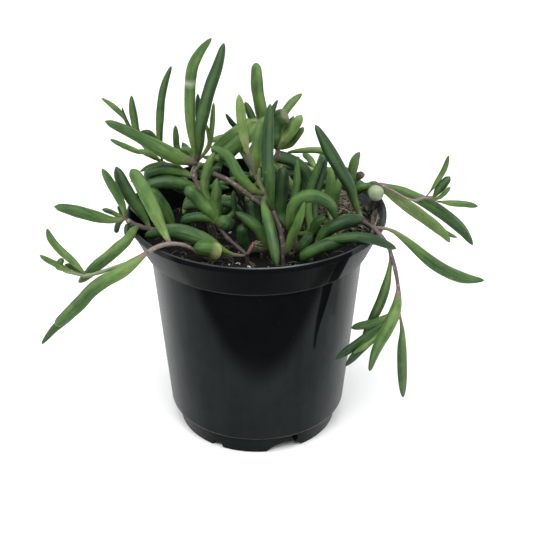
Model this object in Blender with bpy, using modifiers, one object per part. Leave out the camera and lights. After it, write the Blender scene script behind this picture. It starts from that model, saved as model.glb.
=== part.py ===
"""Potted string of bananas: a trailing succulent in a round plastic nursery pot.

Sizes are in millimetres in this script and become metres where a mesh is made.
The pot stands on the origin, +Z is up and the front of the plant faces -Y.
"""
import math
import random

import bmesh
import bpy
import numpy as np
from mathutils import Vector

MM = 0.001

# Pot: a nominal four-inch nursery pot
RIM_RADIUS = 51.0
POT_HEIGHT = 94.4
COLLAR_BOTTOM = 79.8
COLLAR_BOTTOM_RADIUS = 44.6
BODY_TOP_RADIUS = 42.4
BODY_BOTTOM_RADIUS = 36.2
FOOT_HEIGHT = 9.3
FOOT_RADIUS = 32.6
WALL = 1.3
FLOOR_TOP = 3.4
PAD_RADIUS = 14.0
RECESS_HEIGHT = 1.4
LIP_HEIGHT = 2.4
INSIDE_HEIGHTS = [FLOOR_TOP, FOOT_HEIGHT - 1.5, FOOT_HEIGHT + 1.3, COLLAR_BOTTOM - 0.5,
                  COLLAR_BOTTOM + 2.6, POT_HEIGHT - LIP_HEIGHT]
TURN_STEPS = 36

# Soil
SOIL_TOP = 82.0
GAP = 0.35
STEM_FOOT = 75.0

# Leaves and stems
MIN_TIP_RADIUS = 0.3
ROUND_SIDES = 8
SLIM_SIDES = 6
SLIM_LEAF = 4.65
SAMPLES_PER_SPAN = 10

# Each outline is (share of the length, share of the half thickness).
LEAF_OUTLINES = {
    "long": [(0.0, 0.34), (0.13, 0.60), (0.36, 0.96), (0.72, 1.0), (0.91, 0.74), (1.0, 0.20)],
    "blunt": [(0.0, 0.32), (0.14, 0.54), (0.40, 0.95), (0.76, 1.0), (0.93, 0.82), (1.0, 0.34)],
    "stalked": [(0.0, 0.34), (0.30, 0.38), (0.50, 0.86), (0.72, 1.0), (0.90, 0.66), (1.0, 0.14)],
    "cut": [(0.0, 0.42), (0.25, 0.88), (0.60, 1.0), (1.0, 0.97)],
}

# A shoot is a list of stems. A stem is (radius, route, leaves), and a leaf is (place along
# the route, thickness, outline, points from there to the tip). The first stem stands in the soil.
SHOOTS = {
    "shoot_middle": [
        (1.0, [(10, -24, STEM_FOOT), (10, -23, 84), (9, -20, 94), (6, -18, 101), (3, -15, 107),
               (0, -11, 113), (-3, -8, 119), (0, -1, 123)], [
            (3, 4.6, "long", [(5, -21, 112), (4, -23, 128), (5, -20, 144.6)]),
            (3, 3.2, "long", [(5, -26, 98.5), (6, -30, 93), (7, -33, 87.2)]),
            (4, 3.9, "long", [(-1, -20, 111), (-6, -23, 118), (-11, -23, 126.5), (-16.7, -22, 129.2)]),
            (4, 1.3, "blunt", [(1, -16, 112), (1, -16, 118)]),
            (4, 2.0, "cut", [(-6, -10, 107), (-12, -8, 110), (-18, -6, 111)]),
            (5, 3.8, "long", [(0, -14, 122), (1, -15, 132), (3, -15, 138)]),
            (6, 3.5, "long", [(-5, -9, 130), (-6, -8, 144)]),
            (7, 5.0, "long", [(1, 5, 130), (0, 8, 140), (0.3, 10, 150)]),
            (7, 3.0, "long", [(-2, 2, 132), (-5, 3, 139)]),
            (7, 2.1, "long", [(4, -2, 131), (8, -3, 140)]),
            (7, 3.7, "long", [(-5, 0, 128), (-11, 1, 125), (-17, 1, 117)]),
            (7, 3.3, "long", [(-3, -3, 127), (-8, -4, 124), (-14, -4, 117)]),
            (7, 1.9, "long", [(-5, 6, 124), (-12, 9, 130)]),
        ]),
    ],
    "shoot_tall": [
        (0.9, [(-17, -5, STEM_FOOT), (-18, -5, 86), (-20, -5, 96), (-22, -3, 103), (-24, -1, 108),
               (-23, 1, 113)], [
            (5, 3.9, "long", [(-23, 0, 118), (-25, -1, 128), (-25, -2, 141), (-23.2, -2, 152.5), (-16.7, -2, 163.4)]),
            (5, 4.4, "long", [(-21, -1, 118), (-22, -3, 128), (-19, -4, 140), (-11.3, -6, 162.4)]),
            (5, 4.7, "long", [(-29, -2, 117), (-44, -5, 127), (-56.3, -7, 133.4)]),
            (5, 2.2, "long", [(-29, 4, 114), (-31, 6, 119), (-31, 6, 127)]),
            (5, 2.5, "long", [(-24, 4, 116), (-28, 5, 118), (-32, 6, 115)]),
            (5, 2.5, "long", [(-22, 4, 124), (-22, 4, 140)]),
            (5, 2.1, "stalked", [(-18, 2, 119), (-17, 2, 126), (-16, 2, 137)]),
            (5, 1.9, "long", [(-18, 3, 120), (-19, 3, 128)]),
            (4, 2.4, "long", [(-30, 4, 109), (-38, 5, 111), (-46, 4, 109)]),
            (4, 3.7, "long", [(-31, 1, 111), (-38, -1, 111.5), (-44, -2, 109.2)]),
            (4, 3.7, "long", [(-29, -3, 107), (-35, -5, 108), (-42, -6, 107)]),
        ]),
        (0.7, [(-24, -1, 108), (-29, 8, 107), (-37, 9, 110), (-42, 10, 113), (-45, 11, 114)], [
            (2, 3.0, "long", [(-38, 8, 118), (-37, 8, 130), (-35, 8, 142), (-32, 8, 150)]),
            (2, 2.8, "long", [(-41, 7, 113), (-47, 7, 117)]),
            (3, 1.8, "stalked", [(-50, 12, 125), (-54, 12, 131), (-60, 12, 135)]),
            (3, 1.2, "stalked", [(-50, 12, 124), (-52, 12, 131)]),
            (3, 2.7, "long", [(-46, 10, 122), (-48, 10, 130), (-48, 10, 138)]),
            (3, 2.1, "long", [(-48, 8, 117), (-57, 8, 120)]),
            (3, 2.7, "long", [(-40, 12, 118), (-42, 12, 121), (-46, 12, 121)]),
        ]),
    ],
    "shoot_left_rim": [
        (1.2, [(-26, -9, STEM_FOOT), (-27, -10, 84), (-31, -12, 91), (-38, -15, 94), (-45, -17, 97),
               (-51, -15, 98.5)], [
            (2, 4.6, "blunt", [(-36, -9, 99), (-42, -10, 107)]),
            (3, 4.3, "long", [(-42, -13, 97), (-46, -12, 101), (-49.5, -12, 108), (-52.3, -12, 117)]),
            (4, 4.5, "long", [(-50, -25, 95), (-55, -27, 90.5), (-63, -28, 82), (-68, -28, 76.6)]),
            (5, 3.2, "long", [(-52, -16, 104), (-53.5, -17, 110), (-57, -18, 119)]),
            (5, 3.5, "long", [(-57, -17, 98), (-66, -18, 101.5), (-76.2, -17, 103.4)]),
            (5, 2.1, "long", [(-54, -14, 100), (-59.3, -13, 100.2)]),
            (5, 2.4, "blunt", [(-54, -13, 93), (-56, -12, 89.5)]),
            (5, 2.0, "blunt", [(-51.5, -20, 95), (-50.5, -23, 91.5)]),
            (5, 2.0, "long", [(-52, -12, 98.5), (-53.5, -11, 100.5)]),
        ]),
    ],
    "shoot_left_long": [
        (1.1, [(-16, -25, STEM_FOOT), (-18, -26, 85), (-25, -29, 92), (-30, -32, 95), (-36, -37, 97),
               (-40.5, -39, 94.5)], [
            (3, 4.7, "blunt", [(-34, -31, 100), (-38, -28, 107), (-41, -26, 113.5), (-44, -24, 120.8)]),
            (5, 5.1, "blunt", [(-46, -41, 91), (-55, -43, 85), (-65, -44, 77), (-72, -45, 67)]),
            (5, 4.0, "long", [(-47, -38, 89), (-56, -38, 83.5), (-66, -40, 74.5), (-75, -41, 65), (-81, -41, 57)]),
        ]),
        (0.75, [(-40.5, -39, 94.5), (-47, -37, 89), (-55, -36, 84), (-63, -35, 83), (-68, -34, 83.5),
                (-72, -34, 85)], [
            (3, 2.4, "long", [(-68, -34, 88), (-74, -34, 95), (-76.3, -34, 101.6)]),
            (3, 1.7, "long", [(-68, -32, 85), (-71.5, -31, 86)]),
            (4, 1.9, "long", [(-72, -34, 86.5), (-77, -35, 90), (-79.6, -35, 92)]),
            (5, 1.9, "blunt", [(-73.5, -34, 86.5), (-71.5, -33, 89.5)]),
        ]),
    ],
    "shoot_front": [
        (0.9, [(-4, -24, STEM_FOOT), (-4, -24, 85.5), (-7, -22, 88), (-11, -20, 91), (-15, -16, 95)], [
            (1, 4.8, "long", [(-10, -25, 88), (-14, -26, 92), (-20, -26, 98), (-28, -25, 100),
                              (-36, -25, 96.5), (-42, -22, 93.2)]),
            (1, 6.2, "blunt", [(-10, -28, 88), (-19.5, -32, 93.2)]),
            (1, 1.5, "cut", [(-3, -26, 88), (-1, -26, 92)]),
            (4, 4.6, "blunt", [(-20, -13, 101), (-26, -14, 111)]),
            (4, 3.8, "long", [(-16, -15, 104), (-15, -15, 113.8)]),
            (4, 3.1, "long", [(-22, -8, 97), (-29, -8, 98)]),
            (4, 3.8, "long", [(-23, -14, 98), (-29, -15, 95.3)]),
            (4, 4.9, "blunt", [(-12, -17, 99), (-7, -15, 96)]),
            (4, 3.1, "long", [(-13, -12, 101), (-9, -11, 101), (-4, -12, 98)]),
            (4, 1.9, "long", [(-10, -15, 98), (-9, -14, 107.8)]),
            (4, 2.5, "long", [(-19, -12, 104), (-20, -12, 112), (-19, -12, 119), (-16, -12, 125)]),
        ]),
    ],
    "shoot_low": [
        (0.9, [(2, -17, STEM_FOOT), (2, -17, 84), (1, -16, 90)], [
            (1, 3.8, "long", [(5, -20, 89), (4, -21, 94.5), (-1, -21.5, 98.5), (-7, -20, 103)]),
            (1, 4.6, "blunt", [(-4, -18, 86.5), (-5, -19, 98)]),
            (2, 4.8, "long", [(0, -13, 97), (-2, -12, 104)]),
        ]),
    ],
    "shoot_right_inner": [
        (1.0, [(15, -19, STEM_FOOT), (15, -19, 84), (15, -17, 91), (18, -13, 98), (21, -8, 99)], [
            (1, 2.4, "long", [(13, -25, 88), (14, -29, 99), (17, -30, 109)]),
            (1, 4.5, "long", [(17, -24, 89.5), (21, -22, 94.5)]),
            (2, 4.3, "long", [(12, -22, 97), (13, -25, 106), (19, -26, 111), (26, -22, 107.5), (31, -17, 96.2)]),
            (2, 2.8, "long", [(13, -18, 98), (15, -16, 112), (15, -15, 121)]),
            (2, 5.7, "blunt", [(10, -12, 97), (9, -10, 103), (10, -11, 109.5), (11, -12, 115.5)]),
            (3, 3.0, "long", [(19, -12, 104), (21, -10, 111.5), (25, -9, 119.8)]),
            (4, 3.9, "long", [(23, -7, 105), (25, -6, 111), (27, -5, 119)]),
            (4, 4.3, "cut", [(23, -3, 105), (20, -3, 112), (14, -7, 118), (8, -9, 120)]),
        ]),
    ],
    "shoot_right_front": [
        (1.0, [(20, -27, STEM_FOOT), (20, -27, 84), (22, -24, 90)], [
            (1, 4.6, "long", [(22, -31, 90), (28, -31, 94), (35.4, -28, 95)]),
            (2, 4.9, "long", [(25, -22.5, 94), (30, -22.5, 98), (36, -20.5, 99.5), (41, -19, 99)]),
            (2, 4.0, "long", [(27, -28, 95), (33, -30, 98), (40, -31, 98.5), (47, -31, 95), (52, -30, 92)]),
        ]),
    ],
    "shoot_right_trailing": [
        (0.8, [(31, -7, STEM_FOOT), (31, -7, 84), (35, -8, 90), (39, -11, 94), (42.5, -17, 96),
               (45, -22, 97), (47.5, -25, 94), (50, -26, 88), (52.5, -26, 80), (54, -26, 72),
               (54.5, -26, 64)], [
            (1, 3.1, "long", [(28, 2, 95), (28, 4, 102), (29, 4, 111)]),
            (2, 3.2, "long", [(35, 2, 96), (33, 6, 100), (32, 6, 103.4)]),
            (3, 4.8, "long", [(38, -10, 105), (33, -12, 115), (28, -13, 125), (22, -12, 134)]),
            (5, 5.0, "long", [(51, -24, 97), (58, -26, 90.5), (67, -28, 82.5), (77.5, -29, 77.8), (86.2, -29, 77.3)]),
            (7, 3.2, "long", [(50, -26, 80), (49, -27, 71), (43, -29, 58)]),
            (10, 3.2, "long", [(51, -26, 61), (43, -27, 58), (36, -27, 55)]),
            (10, 3.2, "long", [(49, -27, 58), (45, -29, 54), (40, -30, 49.5), (30.3, -30, 41.6)]),
            (10, 3.2, "long", [(49, -29, 57), (44, -31, 52), (40, -32, 47.5), (34.5, -32, 41.2)]),
            (10, 2.0, "long", [(47, -31, 55), (44, -32, 52.5), (37, -33, 47.6)]),
            (10, 5.1, "long", [(53, -31, 60), (49, -33, 54), (47, -34, 48), (43, -35, 40)]),
            (10, 3.9, "long", [(56, -27, 58), (57, -28, 49), (57, -28, 40), (58.2, -28, 23)]),
        ]),
    ],
    "shoot_right_rim": [
        (1.0, [(36, 12, STEM_FOOT), (36, 12, 86), (38, 10, 93), (42, 7, 99), (45, 5, 102), (48, 3, 103)], [
            (5, 5.1, "long", [(56, 0, 102), (67, -4, 97), (79, -6, 89), (85, -7, 81)]),
            (4, 4.6, "long", [(55, 4, 98), (61, 5, 93), (72.5, 6, 83), (78, 6, 75.8)]),
            (4, 3.0, "long", [(56, 7, 99), (67, 8, 91), (76, 8, 84), (81, 7, 78)]),
            (3, 5.9, "cut", [(45.6, 5, 99.5), (46, -2, 102)]),
            (3, 3.5, "long", [(38, 6, 103), (38, 6, 107.5), (41, 6, 115.8)]),
            (3, 2.8, "blunt", [(40, 9, 102.8), (42.8, 8, 105.6)]),
            (2, 3.1, "blunt", [(40, 5, 99.5), (46, 3, 102)]),
            (3, 2.6, "stalked", [(37, 10, 108), (30, 10, 114.5), (20, 9, 115), (12, 9, 113.5)]),
        ]),
        (0.7, [(48, 3, 103), (54, -3, 102), (61, -6, 100), (65, -6, 101), (68, -6, 101), (70, -6, 99.5)], [
            (3, 2.3, "long", [(67, -6, 104), (70, -5, 109), (73, -4, 118)]),
            (4, 3.1, "long", [(71, -6, 103.5), (74.2, -6, 109.8)]),
            (4, 2.0, "long", [(70, -8, 102), (74, -9, 107)]),
            (5, 2.6, "long", [(75, -6, 99), (86, -6, 97)]),
        ]),
    ],
    "shoot_back_right": [
        (1.0, [(10, 4, STEM_FOOT), (10, 3, 84), (10, 2, 97), (9, 4, 111), (8, 4, 118)], [
            (4, 3.4, "long", [(9, 6, 126), (13, 8, 133), (17.6, 9, 138)]),
            (4, 5.3, "cut", [(8, 2, 124), (9.2, 0, 129), (12, -2, 132.5)]),
            (4, 4.4, "long", [(11, 2, 123), (17.2, 2, 132.2)]),
            (4, 2.8, "long", [(11, 6, 125.5), (14.2, 7, 129.8)]),
            (4, 3.3, "long", [(13, 5, 118.8), (18.3, 6, 125.8)]),
        ]),
    ],
}

# Shoots at the back, where each leaf is drawn until it is clear of everything else:
# (angle round the pot in degrees, distance from its axis, number of leaves).
BACK_SHOOTS = {
    "shoot_back_1": (150, 30, 6),
    "shoot_back_2": (118, 34, 6),
    "shoot_back_3": (86, 33, 7),
    "shoot_back_4": (52, 34, 6),
    "shoot_back_5": (180, 17, 5),
    "shoot_back_6": (100, 16, 5),
    "shoot_back_7": (40, 20, 5),
}
BACK_SEED = 41
BACK_TRIES = 160
BACK_STEM_RADIUS = 0.95
BACK_TOP = 106.0
LEAF_ROOM = 0.5


def clear_scene():
    for obj in list(bpy.data.objects):
        bpy.data.objects.remove(obj, do_unlink=True)


def make_collection(name):
    collection = bpy.data.collections.new(name)
    bpy.context.scene.collection.children.link(collection)
    return collection


def make_material(name, colour, roughness, metallic=0.0):
    material = bpy.data.materials.new(name)
    material.use_nodes = True
    shader = material.node_tree.nodes["Principled BSDF"]
    shader.inputs["Base Color"].default_value = (*colour, 1.0)
    shader.inputs["Roughness"].default_value = roughness
    shader.inputs["Metallic"].default_value = metallic
    return material


def in_metres(points):
    return [tuple(value * MM for value in point) for point in points]


def between(before, start, end, after, share):
    """A point on a centripetal Catmull-Rom span from start to end."""
    knots = [0.0]
    for first, second in ((before, start), (start, end), (end, after)):
        knots.append(knots[-1] + math.sqrt((second - first).length))
    place = knots[1] + share * (knots[2] - knots[1])

    def mix(first, second, low, high):
        return first.lerp(second, (place - low) / (high - low))

    one = mix(before, start, knots[0], knots[1])
    two = mix(start, end, knots[1], knots[2])
    three = mix(end, after, knots[2], knots[3])
    return mix(mix(one, two, knots[0], knots[2]), mix(two, three, knots[1], knots[3]), knots[1], knots[2])


def smooth_path(points):
    """A closely spaced smooth line through the points, in millimetres."""
    points = [Vector(point) for point in points]
    ends = [2 * points[0] - points[1], *points, 2 * points[-1] - points[-2]]
    path = []
    for index in range(len(points) - 1):
        for step in range(SAMPLES_PER_SPAN):
            path.append(between(*ends[index:index + 4], step / SAMPLES_PER_SPAN))
    path.append(points[-1])
    return path


def points_at(path, shares):
    """The points at these shares of the path's length."""
    steps = [(second - first).length for first, second in zip(path, path[1:])]
    travelled = np.concatenate([[0.0], np.cumsum(steps)])
    line = np.array([tuple(point) for point in path])
    wanted = np.array(shares) * travelled[-1]
    return np.stack([np.interp(wanted, travelled, line[:, axis]) for axis in range(3)], axis=1)


def mesh_object(name, mesh, collection, material=None):
    obj = bpy.data.objects.new(name, mesh)
    collection.objects.link(obj)
    if material is not None:
        mesh.materials.append(material)
    return obj


def tube(name, points, radii, sides, collection, material=None):
    """A closed tube whose radius changes along its line, made from a bevelled curve."""
    curve = bpy.data.curves.new(name, "CURVE")
    curve.dimensions = "3D"
    curve.bevel_depth = MM
    curve.bevel_resolution = (sides - 4) // 2
    curve.use_fill_caps = True
    spline = curve.splines.new("POLY")
    spline.points.add(len(points) - 1)
    for control, point, radius in zip(spline.points, points, radii):
        control.co = (*(value * MM for value in point), 1.0)
        control.radius = radius
    guide = bpy.data.objects.new(name, curve)
    collection.objects.link(guide)
    evaluated = guide.evaluated_get(bpy.context.evaluated_depsgraph_get())
    mesh = bpy.data.meshes.new_from_object(evaluated)
    place = guide.matrix_world.copy()
    bpy.data.objects.remove(guide, do_unlink=True)
    bpy.data.curves.remove(curve)
    shape = bmesh.new()
    shape.from_mesh(mesh)
    bmesh.ops.remove_doubles(shape, verts=shape.verts, dist=0.00002)
    bmesh.ops.recalc_face_normals(shape, faces=shape.faces)
    shape.to_mesh(mesh)
    shape.free()
    mesh.name = name
    obj = mesh_object(name, mesh, collection, material)
    obj.matrix_world = place
    return obj


def turned(name, profile, collection, material=None):
    """A solid of revolution about Z from a profile of (radius, height)."""
    mesh = bpy.data.meshes.new(name)
    edges = [(index, index + 1) for index in range(len(profile) - 1)]
    mesh.from_pydata(in_metres([(radius, 0.0, height) for radius, height in profile]), edges, [])
    obj = mesh_object(name, mesh, collection, material)
    screw = obj.modifiers.new("turn", "SCREW")
    screw.axis = "Z"
    screw.steps = TURN_STEPS
    screw.render_steps = TURN_STEPS
    screw.use_merge_vertices = True
    screw.merge_threshold = 0.00001
    return obj


def applied(obj):
    """The object with its modifiers applied."""
    evaluated = obj.evaluated_get(bpy.context.evaluated_depsgraph_get())
    mesh = bpy.data.meshes.new_from_object(evaluated)
    mesh.name = obj.name
    obj.modifiers.clear()
    obj.data = mesh
    return obj


def boolean(obj, operation, cutters):
    modifier = obj.modifiers.new(operation.lower(), "BOOLEAN")
    modifier.operation = operation
    modifier.solver = "EXACT"
    modifier.operand_type = "COLLECTION"
    modifier.collection = cutters


def remove_collection(collection):
    for obj in list(collection.objects):
        bpy.data.objects.remove(obj, do_unlink=True)
    bpy.data.collections.remove(collection)


def shade_round(obj, angle=40.0):
    obj.data.shade_smooth()
    obj.data.set_sharp_from_angle(angle=math.radians(angle))


def inner_radius(height):
    """The pot's inside radius at this height."""
    radii = [FOOT_RADIUS - WALL - 0.4, FOOT_RADIUS - WALL, BODY_BOTTOM_RADIUS - WALL,
             BODY_TOP_RADIUS - WALL, COLLAR_BOTTOM_RADIUS - 0.4, RIM_RADIUS - WALL - 1.1]
    return float(np.interp(height, INSIDE_HEIGHTS, radii))


def pot_profile():
    """From the middle of the floor, up the inside, over the rolled lip and down the outside."""
    lip_low = POT_HEIGHT - LIP_HEIGHT
    inside = [(0.0, FLOOR_TOP)]
    inside += [(inner_radius(height), height) for height in INSIDE_HEIGHTS]
    lip = [(RIM_RADIUS - 1.7, POT_HEIGHT - 0.5), (RIM_RADIUS - 1.1, POT_HEIGHT),
           (RIM_RADIUS - 0.4, POT_HEIGHT), (RIM_RADIUS, POT_HEIGHT - 0.6),
           (RIM_RADIUS, POT_HEIGHT - 1.8), (RIM_RADIUS - 0.7, lip_low)]
    outside = [(COLLAR_BOTTOM_RADIUS, COLLAR_BOTTOM), (BODY_TOP_RADIUS, COLLAR_BOTTOM - 0.8),
               (BODY_BOTTOM_RADIUS, FOOT_HEIGHT), (BODY_BOTTOM_RADIUS - 0.6, FOOT_HEIGHT - 0.9),
               (FOOT_RADIUS + 0.7, FOOT_HEIGHT - 1.9),
               (FOOT_RADIUS, 0.0), (FOOT_RADIUS - 2.4, 0.0), (FOOT_RADIUS - 2.9, RECESS_HEIGHT),
               (PAD_RADIUS + 0.4, RECESS_HEIGHT), (PAD_RADIUS, 0.0), (0.0, 0.0)]
    return inside + lip + outside


def add_cylinder(name, radius, start, end, sides, collection):
    """A capped cylinder between two points in millimetres."""
    shape = bmesh.new()
    line = Vector(end) - Vector(start)
    bmesh.ops.create_cone(shape, cap_ends=True, segments=sides, radius1=radius * MM, radius2=radius * MM,
                          depth=line.length * MM)
    mesh = bpy.data.meshes.new(name)
    shape.to_mesh(mesh)
    shape.free()
    obj = mesh_object(name, mesh, collection)
    obj.rotation_mode = "QUATERNION"
    obj.rotation_quaternion = Vector((0, 0, 1)).rotation_difference(line.normalized())
    obj.location = (Vector(start) + Vector(end)) / 2 * MM
    return obj


def around(angle, radius, height):
    """A point by its angle from +X in degrees, its distance from the axis and its height."""
    turn = math.radians(angle)
    return (radius * math.cos(turn), radius * math.sin(turn), height)


def make_pot(parts, cutters, material):
    """Pot with a flared collar, a rolled lip and a foot with three wide and three narrow notches."""
    pot = turned("pot", pot_profile(), parts, material)
    first_wide_notch = -70.0
    for index in range(3):
        wide = first_wide_notch + 120 * index
        add_cylinder(f"notch_wide_{index}", 10.0, around(wide, FOOT_RADIUS - 2.8, -6.6),
                     around(wide, FOOT_RADIUS + 4.0, -6.0), 32, cutters)
        add_cylinder(f"notch_narrow_{index}", 2.4, around(wide + 60, FOOT_RADIUS - 2.8, 0.1),
                     around(wide + 60, FOOT_RADIUS + 4.0, 0.1), 12, cutters)
        add_cylinder(f"drain_{index}", 1.7, around(wide + 7, FOOT_RADIUS - 5.0, 3.2),
                     around(wide + 7, FOOT_RADIUS + 4.0, 5.4), 12, cutters)
    boolean(pot, "DIFFERENCE", cutters)
    return pot


def soil_height(x, y):
    """Height of the soil surface: low bumps, a mound at the right wall and one at the front left."""
    bumps = 0.6 * math.sin(x / 6.5 + 1.0) * math.cos(y / 8.0) + 0.4 * math.sin((x + 2 * y) / 5.5)
    right = 5.0 * math.exp(-((x - 38) ** 2 + (y - 12) ** 2) / 130)
    front = 2.6 * math.exp(-((x + 22) ** 2 + (y + 34) ** 2) / 150)
    return SOIL_TOP + bumps + right + front


def make_soil(parts, material, stem_holes):
    """Soil that fills the pot, with an uneven top and a plain hole for each stem."""
    base = FLOOR_TOP + GAP
    wall_top = SOIL_TOP
    heights = [wall_top, *INSIDE_HEIGHTS[3:0:-1], base]
    side = [(inner_radius(height) - GAP, height) for height in heights]
    top = [(radius, wall_top) for radius in (0.0, 9.0, 18.0, 27.0, 35.0)]
    soil = applied(turned("soil", top + side + [(0.0, base)], parts, material))
    for vertex in soil.data.vertices:
        x, y, z = vertex.co / MM
        if z > wall_top - 0.1:
            vertex.co.z = soil_height(x, y) * MM
            reach = math.hypot(x, y)
            if reach > 36.0:
                room = (inner_radius(vertex.co.z / MM) - GAP) / reach
                vertex.co.x *= room
                vertex.co.y *= room
    boolean(soil, "DIFFERENCE", stem_holes)
    return soil


def stem_lines(route):
    """The smooth line of a stem and the shares of it where rings go."""
    path = smooth_path(route)
    rings = len(route) + 1
    return path, [index / (rings - 1) for index in range(rings)]


def leaf_line(route, place, points):
    return smooth_path([route[place], *points])


def leaf_sections(path, thickness, outline):
    """Centres and radii of a leaf's sections."""
    shares = [share for share, _ in LEAF_OUTLINES[outline]]
    radii = [max(MIN_TIP_RADIUS, width * thickness / 2) for _, width in LEAF_OUTLINES[outline]]
    return points_at(path, shares), radii


def stem_hole(name, radius, route, collection):
    """The hole round a stem's foot, a little wider than the stem and a little deeper."""
    path = smooth_path(route)
    start = path[0] + (path[0] - path[1]).normalized() * GAP
    line = [start]
    for point in path[3::4]:
        line.append(point)
        if point.z > soil_height(point.x, point.y) + radius + 3.0:
            break
    return tube(name, line, [radius + GAP] * len(line), ROUND_SIDES, collection)


def make_shoot(name, stems, parts, material):
    """One leafy stem with its branches and leaves joined into one solid."""
    pieces = make_collection(f"{name}_pieces")
    trunk = None
    for number, (radius, route, leaves) in enumerate(stems):
        path, shares = stem_lines(route)
        target = parts if trunk is None else pieces
        stem = tube(name if trunk is None else f"{name}_branch_{number}", points_at(path, shares),
                    [radius] * len(shares), SLIM_SIDES, target, material)
        trunk = trunk or stem
        for index, (place, thickness, outline, points) in enumerate(leaves):
            centres, radii = leaf_sections(leaf_line(route, place, points), thickness, outline)
            sides = SLIM_SIDES if thickness < SLIM_LEAF else ROUND_SIDES
            tube(f"{name}_leaf_{number}_{index}", centres, radii, sides, pieces, material)
    boolean(trunk, "UNION", pieces)
    applied(trunk)
    remove_collection(pieces)
    shade_round(trunk)
    return trunk


def shoot_samples(stems):
    """Points with radii along everything in a shoot, for judging room between shoots."""
    rows = []
    for radius, route, leaves in stems:
        path, _ = stem_lines(route)
        for point in points_at(path, np.linspace(0, 1, 5 * len(route))):
            rows.append((*point, radius))
        for place, thickness, outline, points in leaves:
            rows += leaf_samples(leaf_line(route, place, points), thickness, outline)
    return np.array(rows)


def leaf_samples(path, thickness, outline):
    shares = np.linspace(0, 1, 16)
    knots, widths = zip(*LEAF_OUTLINES[outline])
    radii = np.interp(shares, knots, widths) * thickness / 2
    return [(*point, radius) for point, radius in zip(points_at(path, shares), radii)]


def room_between(samples, others):
    """The narrowest gap between two sets of (x, y, z, radius)."""
    if len(others) == 0:
        return math.inf
    offsets = samples[:, None, :3] - others[None, :, :3]
    gaps = np.sqrt((offsets ** 2).sum(axis=2)) - samples[:, None, 3] - others[None, :, 3]
    return float(gaps.min())


def clear_of_pot(samples):
    """True where nothing comes near the rim, the wall or the soil."""
    for x, y, z, radius in samples:
        reach = math.hypot(x, y)
        need = radius + LEAF_ROOM
        if reach < RIM_RADIUS - 4.0:
            if z - need < soil_height(x, y):
                return False
        if z < POT_HEIGHT + need and inner_radius(z) - need - 0.6 < reach < RIM_RADIUS + need:
            return False
    return True


def back_route(rng, angle, distance, taken):
    """A short stem that leans outward from the soil, drawn until it has room."""
    for _ in range(BACK_TRIES):
        lean = rng.uniform(3.0, 7.0)
        turn = angle + rng.uniform(-7.0, 7.0)
        route = [around(turn, distance, STEM_FOOT), around(turn, distance, 85.0),
                 around(turn, distance + lean * 0.4, 91.0), around(turn, distance + lean, 97.0)]
        if room_between(shoot_samples([(BACK_STEM_RADIUS, route, [])]), taken) > LEAF_ROOM:
            break
    return route


def back_leaves(rng, angle, route, leaf_count, taken):
    """Curved leaves all round the top of a stem, each drawn until it has room."""
    leaves = []
    for index in range(leaf_count):
        for _ in range(BACK_TRIES):
            place = rng.choice((2, 3))
            heading = angle + 360.0 * index / leaf_count + rng.uniform(-35.0, 35.0)
            length = rng.uniform(13.0, 26.0)
            rise = rng.uniform(0.1, 0.75)
            bow = rng.uniform(-0.25, 0.15) * length
            thickness = rng.uniform(2.6, 4.4)
            base = Vector(route[place])
            outward = Vector(around(heading, 1.0, 0.0)) * math.sqrt(1 - rise ** 2)
            tip = base + (outward + Vector((0, 0, rise))) * length
            middle = (base + tip) / 2 + Vector((0, 0, -bow))
            points = [tuple(middle), tuple(tip)]
            if tip.z > BACK_TOP:
                continue
            samples = np.array(leaf_samples(leaf_line(route, place, points), thickness, "long"))
            if clear_of_pot(samples[3:]) and room_between(samples, taken) > LEAF_ROOM:
                leaves.append((place, thickness, "long", points))
                break
    return leaves


def all_shoots():
    """The shoots chosen by hand, then those at the back, each with room to the ones before it."""
    shoots = dict(SHOOTS)
    taken = [shoot_samples(stems) for stems in shoots.values()]
    rng = random.Random(BACK_SEED)
    routes = {}
    for name, (angle, distance, _) in BACK_SHOOTS.items():
        routes[name] = back_route(rng, angle, distance, np.concatenate(taken))
        taken.append(shoot_samples([(BACK_STEM_RADIUS, routes[name], [])]))
    first_back = len(taken) - len(routes)
    for number, (name, (angle, _, leaf_count)) in enumerate(BACK_SHOOTS.items()):
        others = [rows for index, rows in enumerate(taken) if index != first_back + number]
        leaves = back_leaves(rng, angle, routes[name], leaf_count, np.concatenate(others))
        shoots[name] = [(BACK_STEM_RADIUS, routes[name], leaves)]
        taken[first_back + number] = shoot_samples(shoots[name])
    return shoots


def build():
    clear_scene()
    parts = make_collection("potted_string_of_bananas")
    pot_cutters = make_collection("pot_cutters")
    stem_holes = make_collection("stem_holes")
    black_plastic = make_material("black_plastic", (0.015, 0.017, 0.017), 0.32)
    peat = make_material("peat", (0.045, 0.028, 0.018), 0.95)
    leaf_green = make_material("leaf_green", (0.10, 0.22, 0.055), 0.38)

    shade_round(applied(make_pot(parts, pot_cutters, black_plastic)))
    shoots = all_shoots()
    for name, stems in shoots.items():
        radius, route, _ = stems[0]
        stem_hole(f"{name}_hole", radius, route, stem_holes)
    make_soil(parts, peat, stem_holes)
    for name, stems in shoots.items():
        make_shoot(name, stems, parts, leaf_green)
    for collection in (pot_cutters, stem_holes):
        for cutter in collection.objects:
            cutter.hide_render = True
            cutter.display_type = "WIRE"


build()
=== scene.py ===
"""Looks of the potted string of bananas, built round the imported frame.

Lengths are in millimetres where they are listed, and become metres in the meshes.
"""
import math
import random

import bmesh
import bpy
import numpy as np
from mathutils import Matrix, Vector, noise


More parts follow.
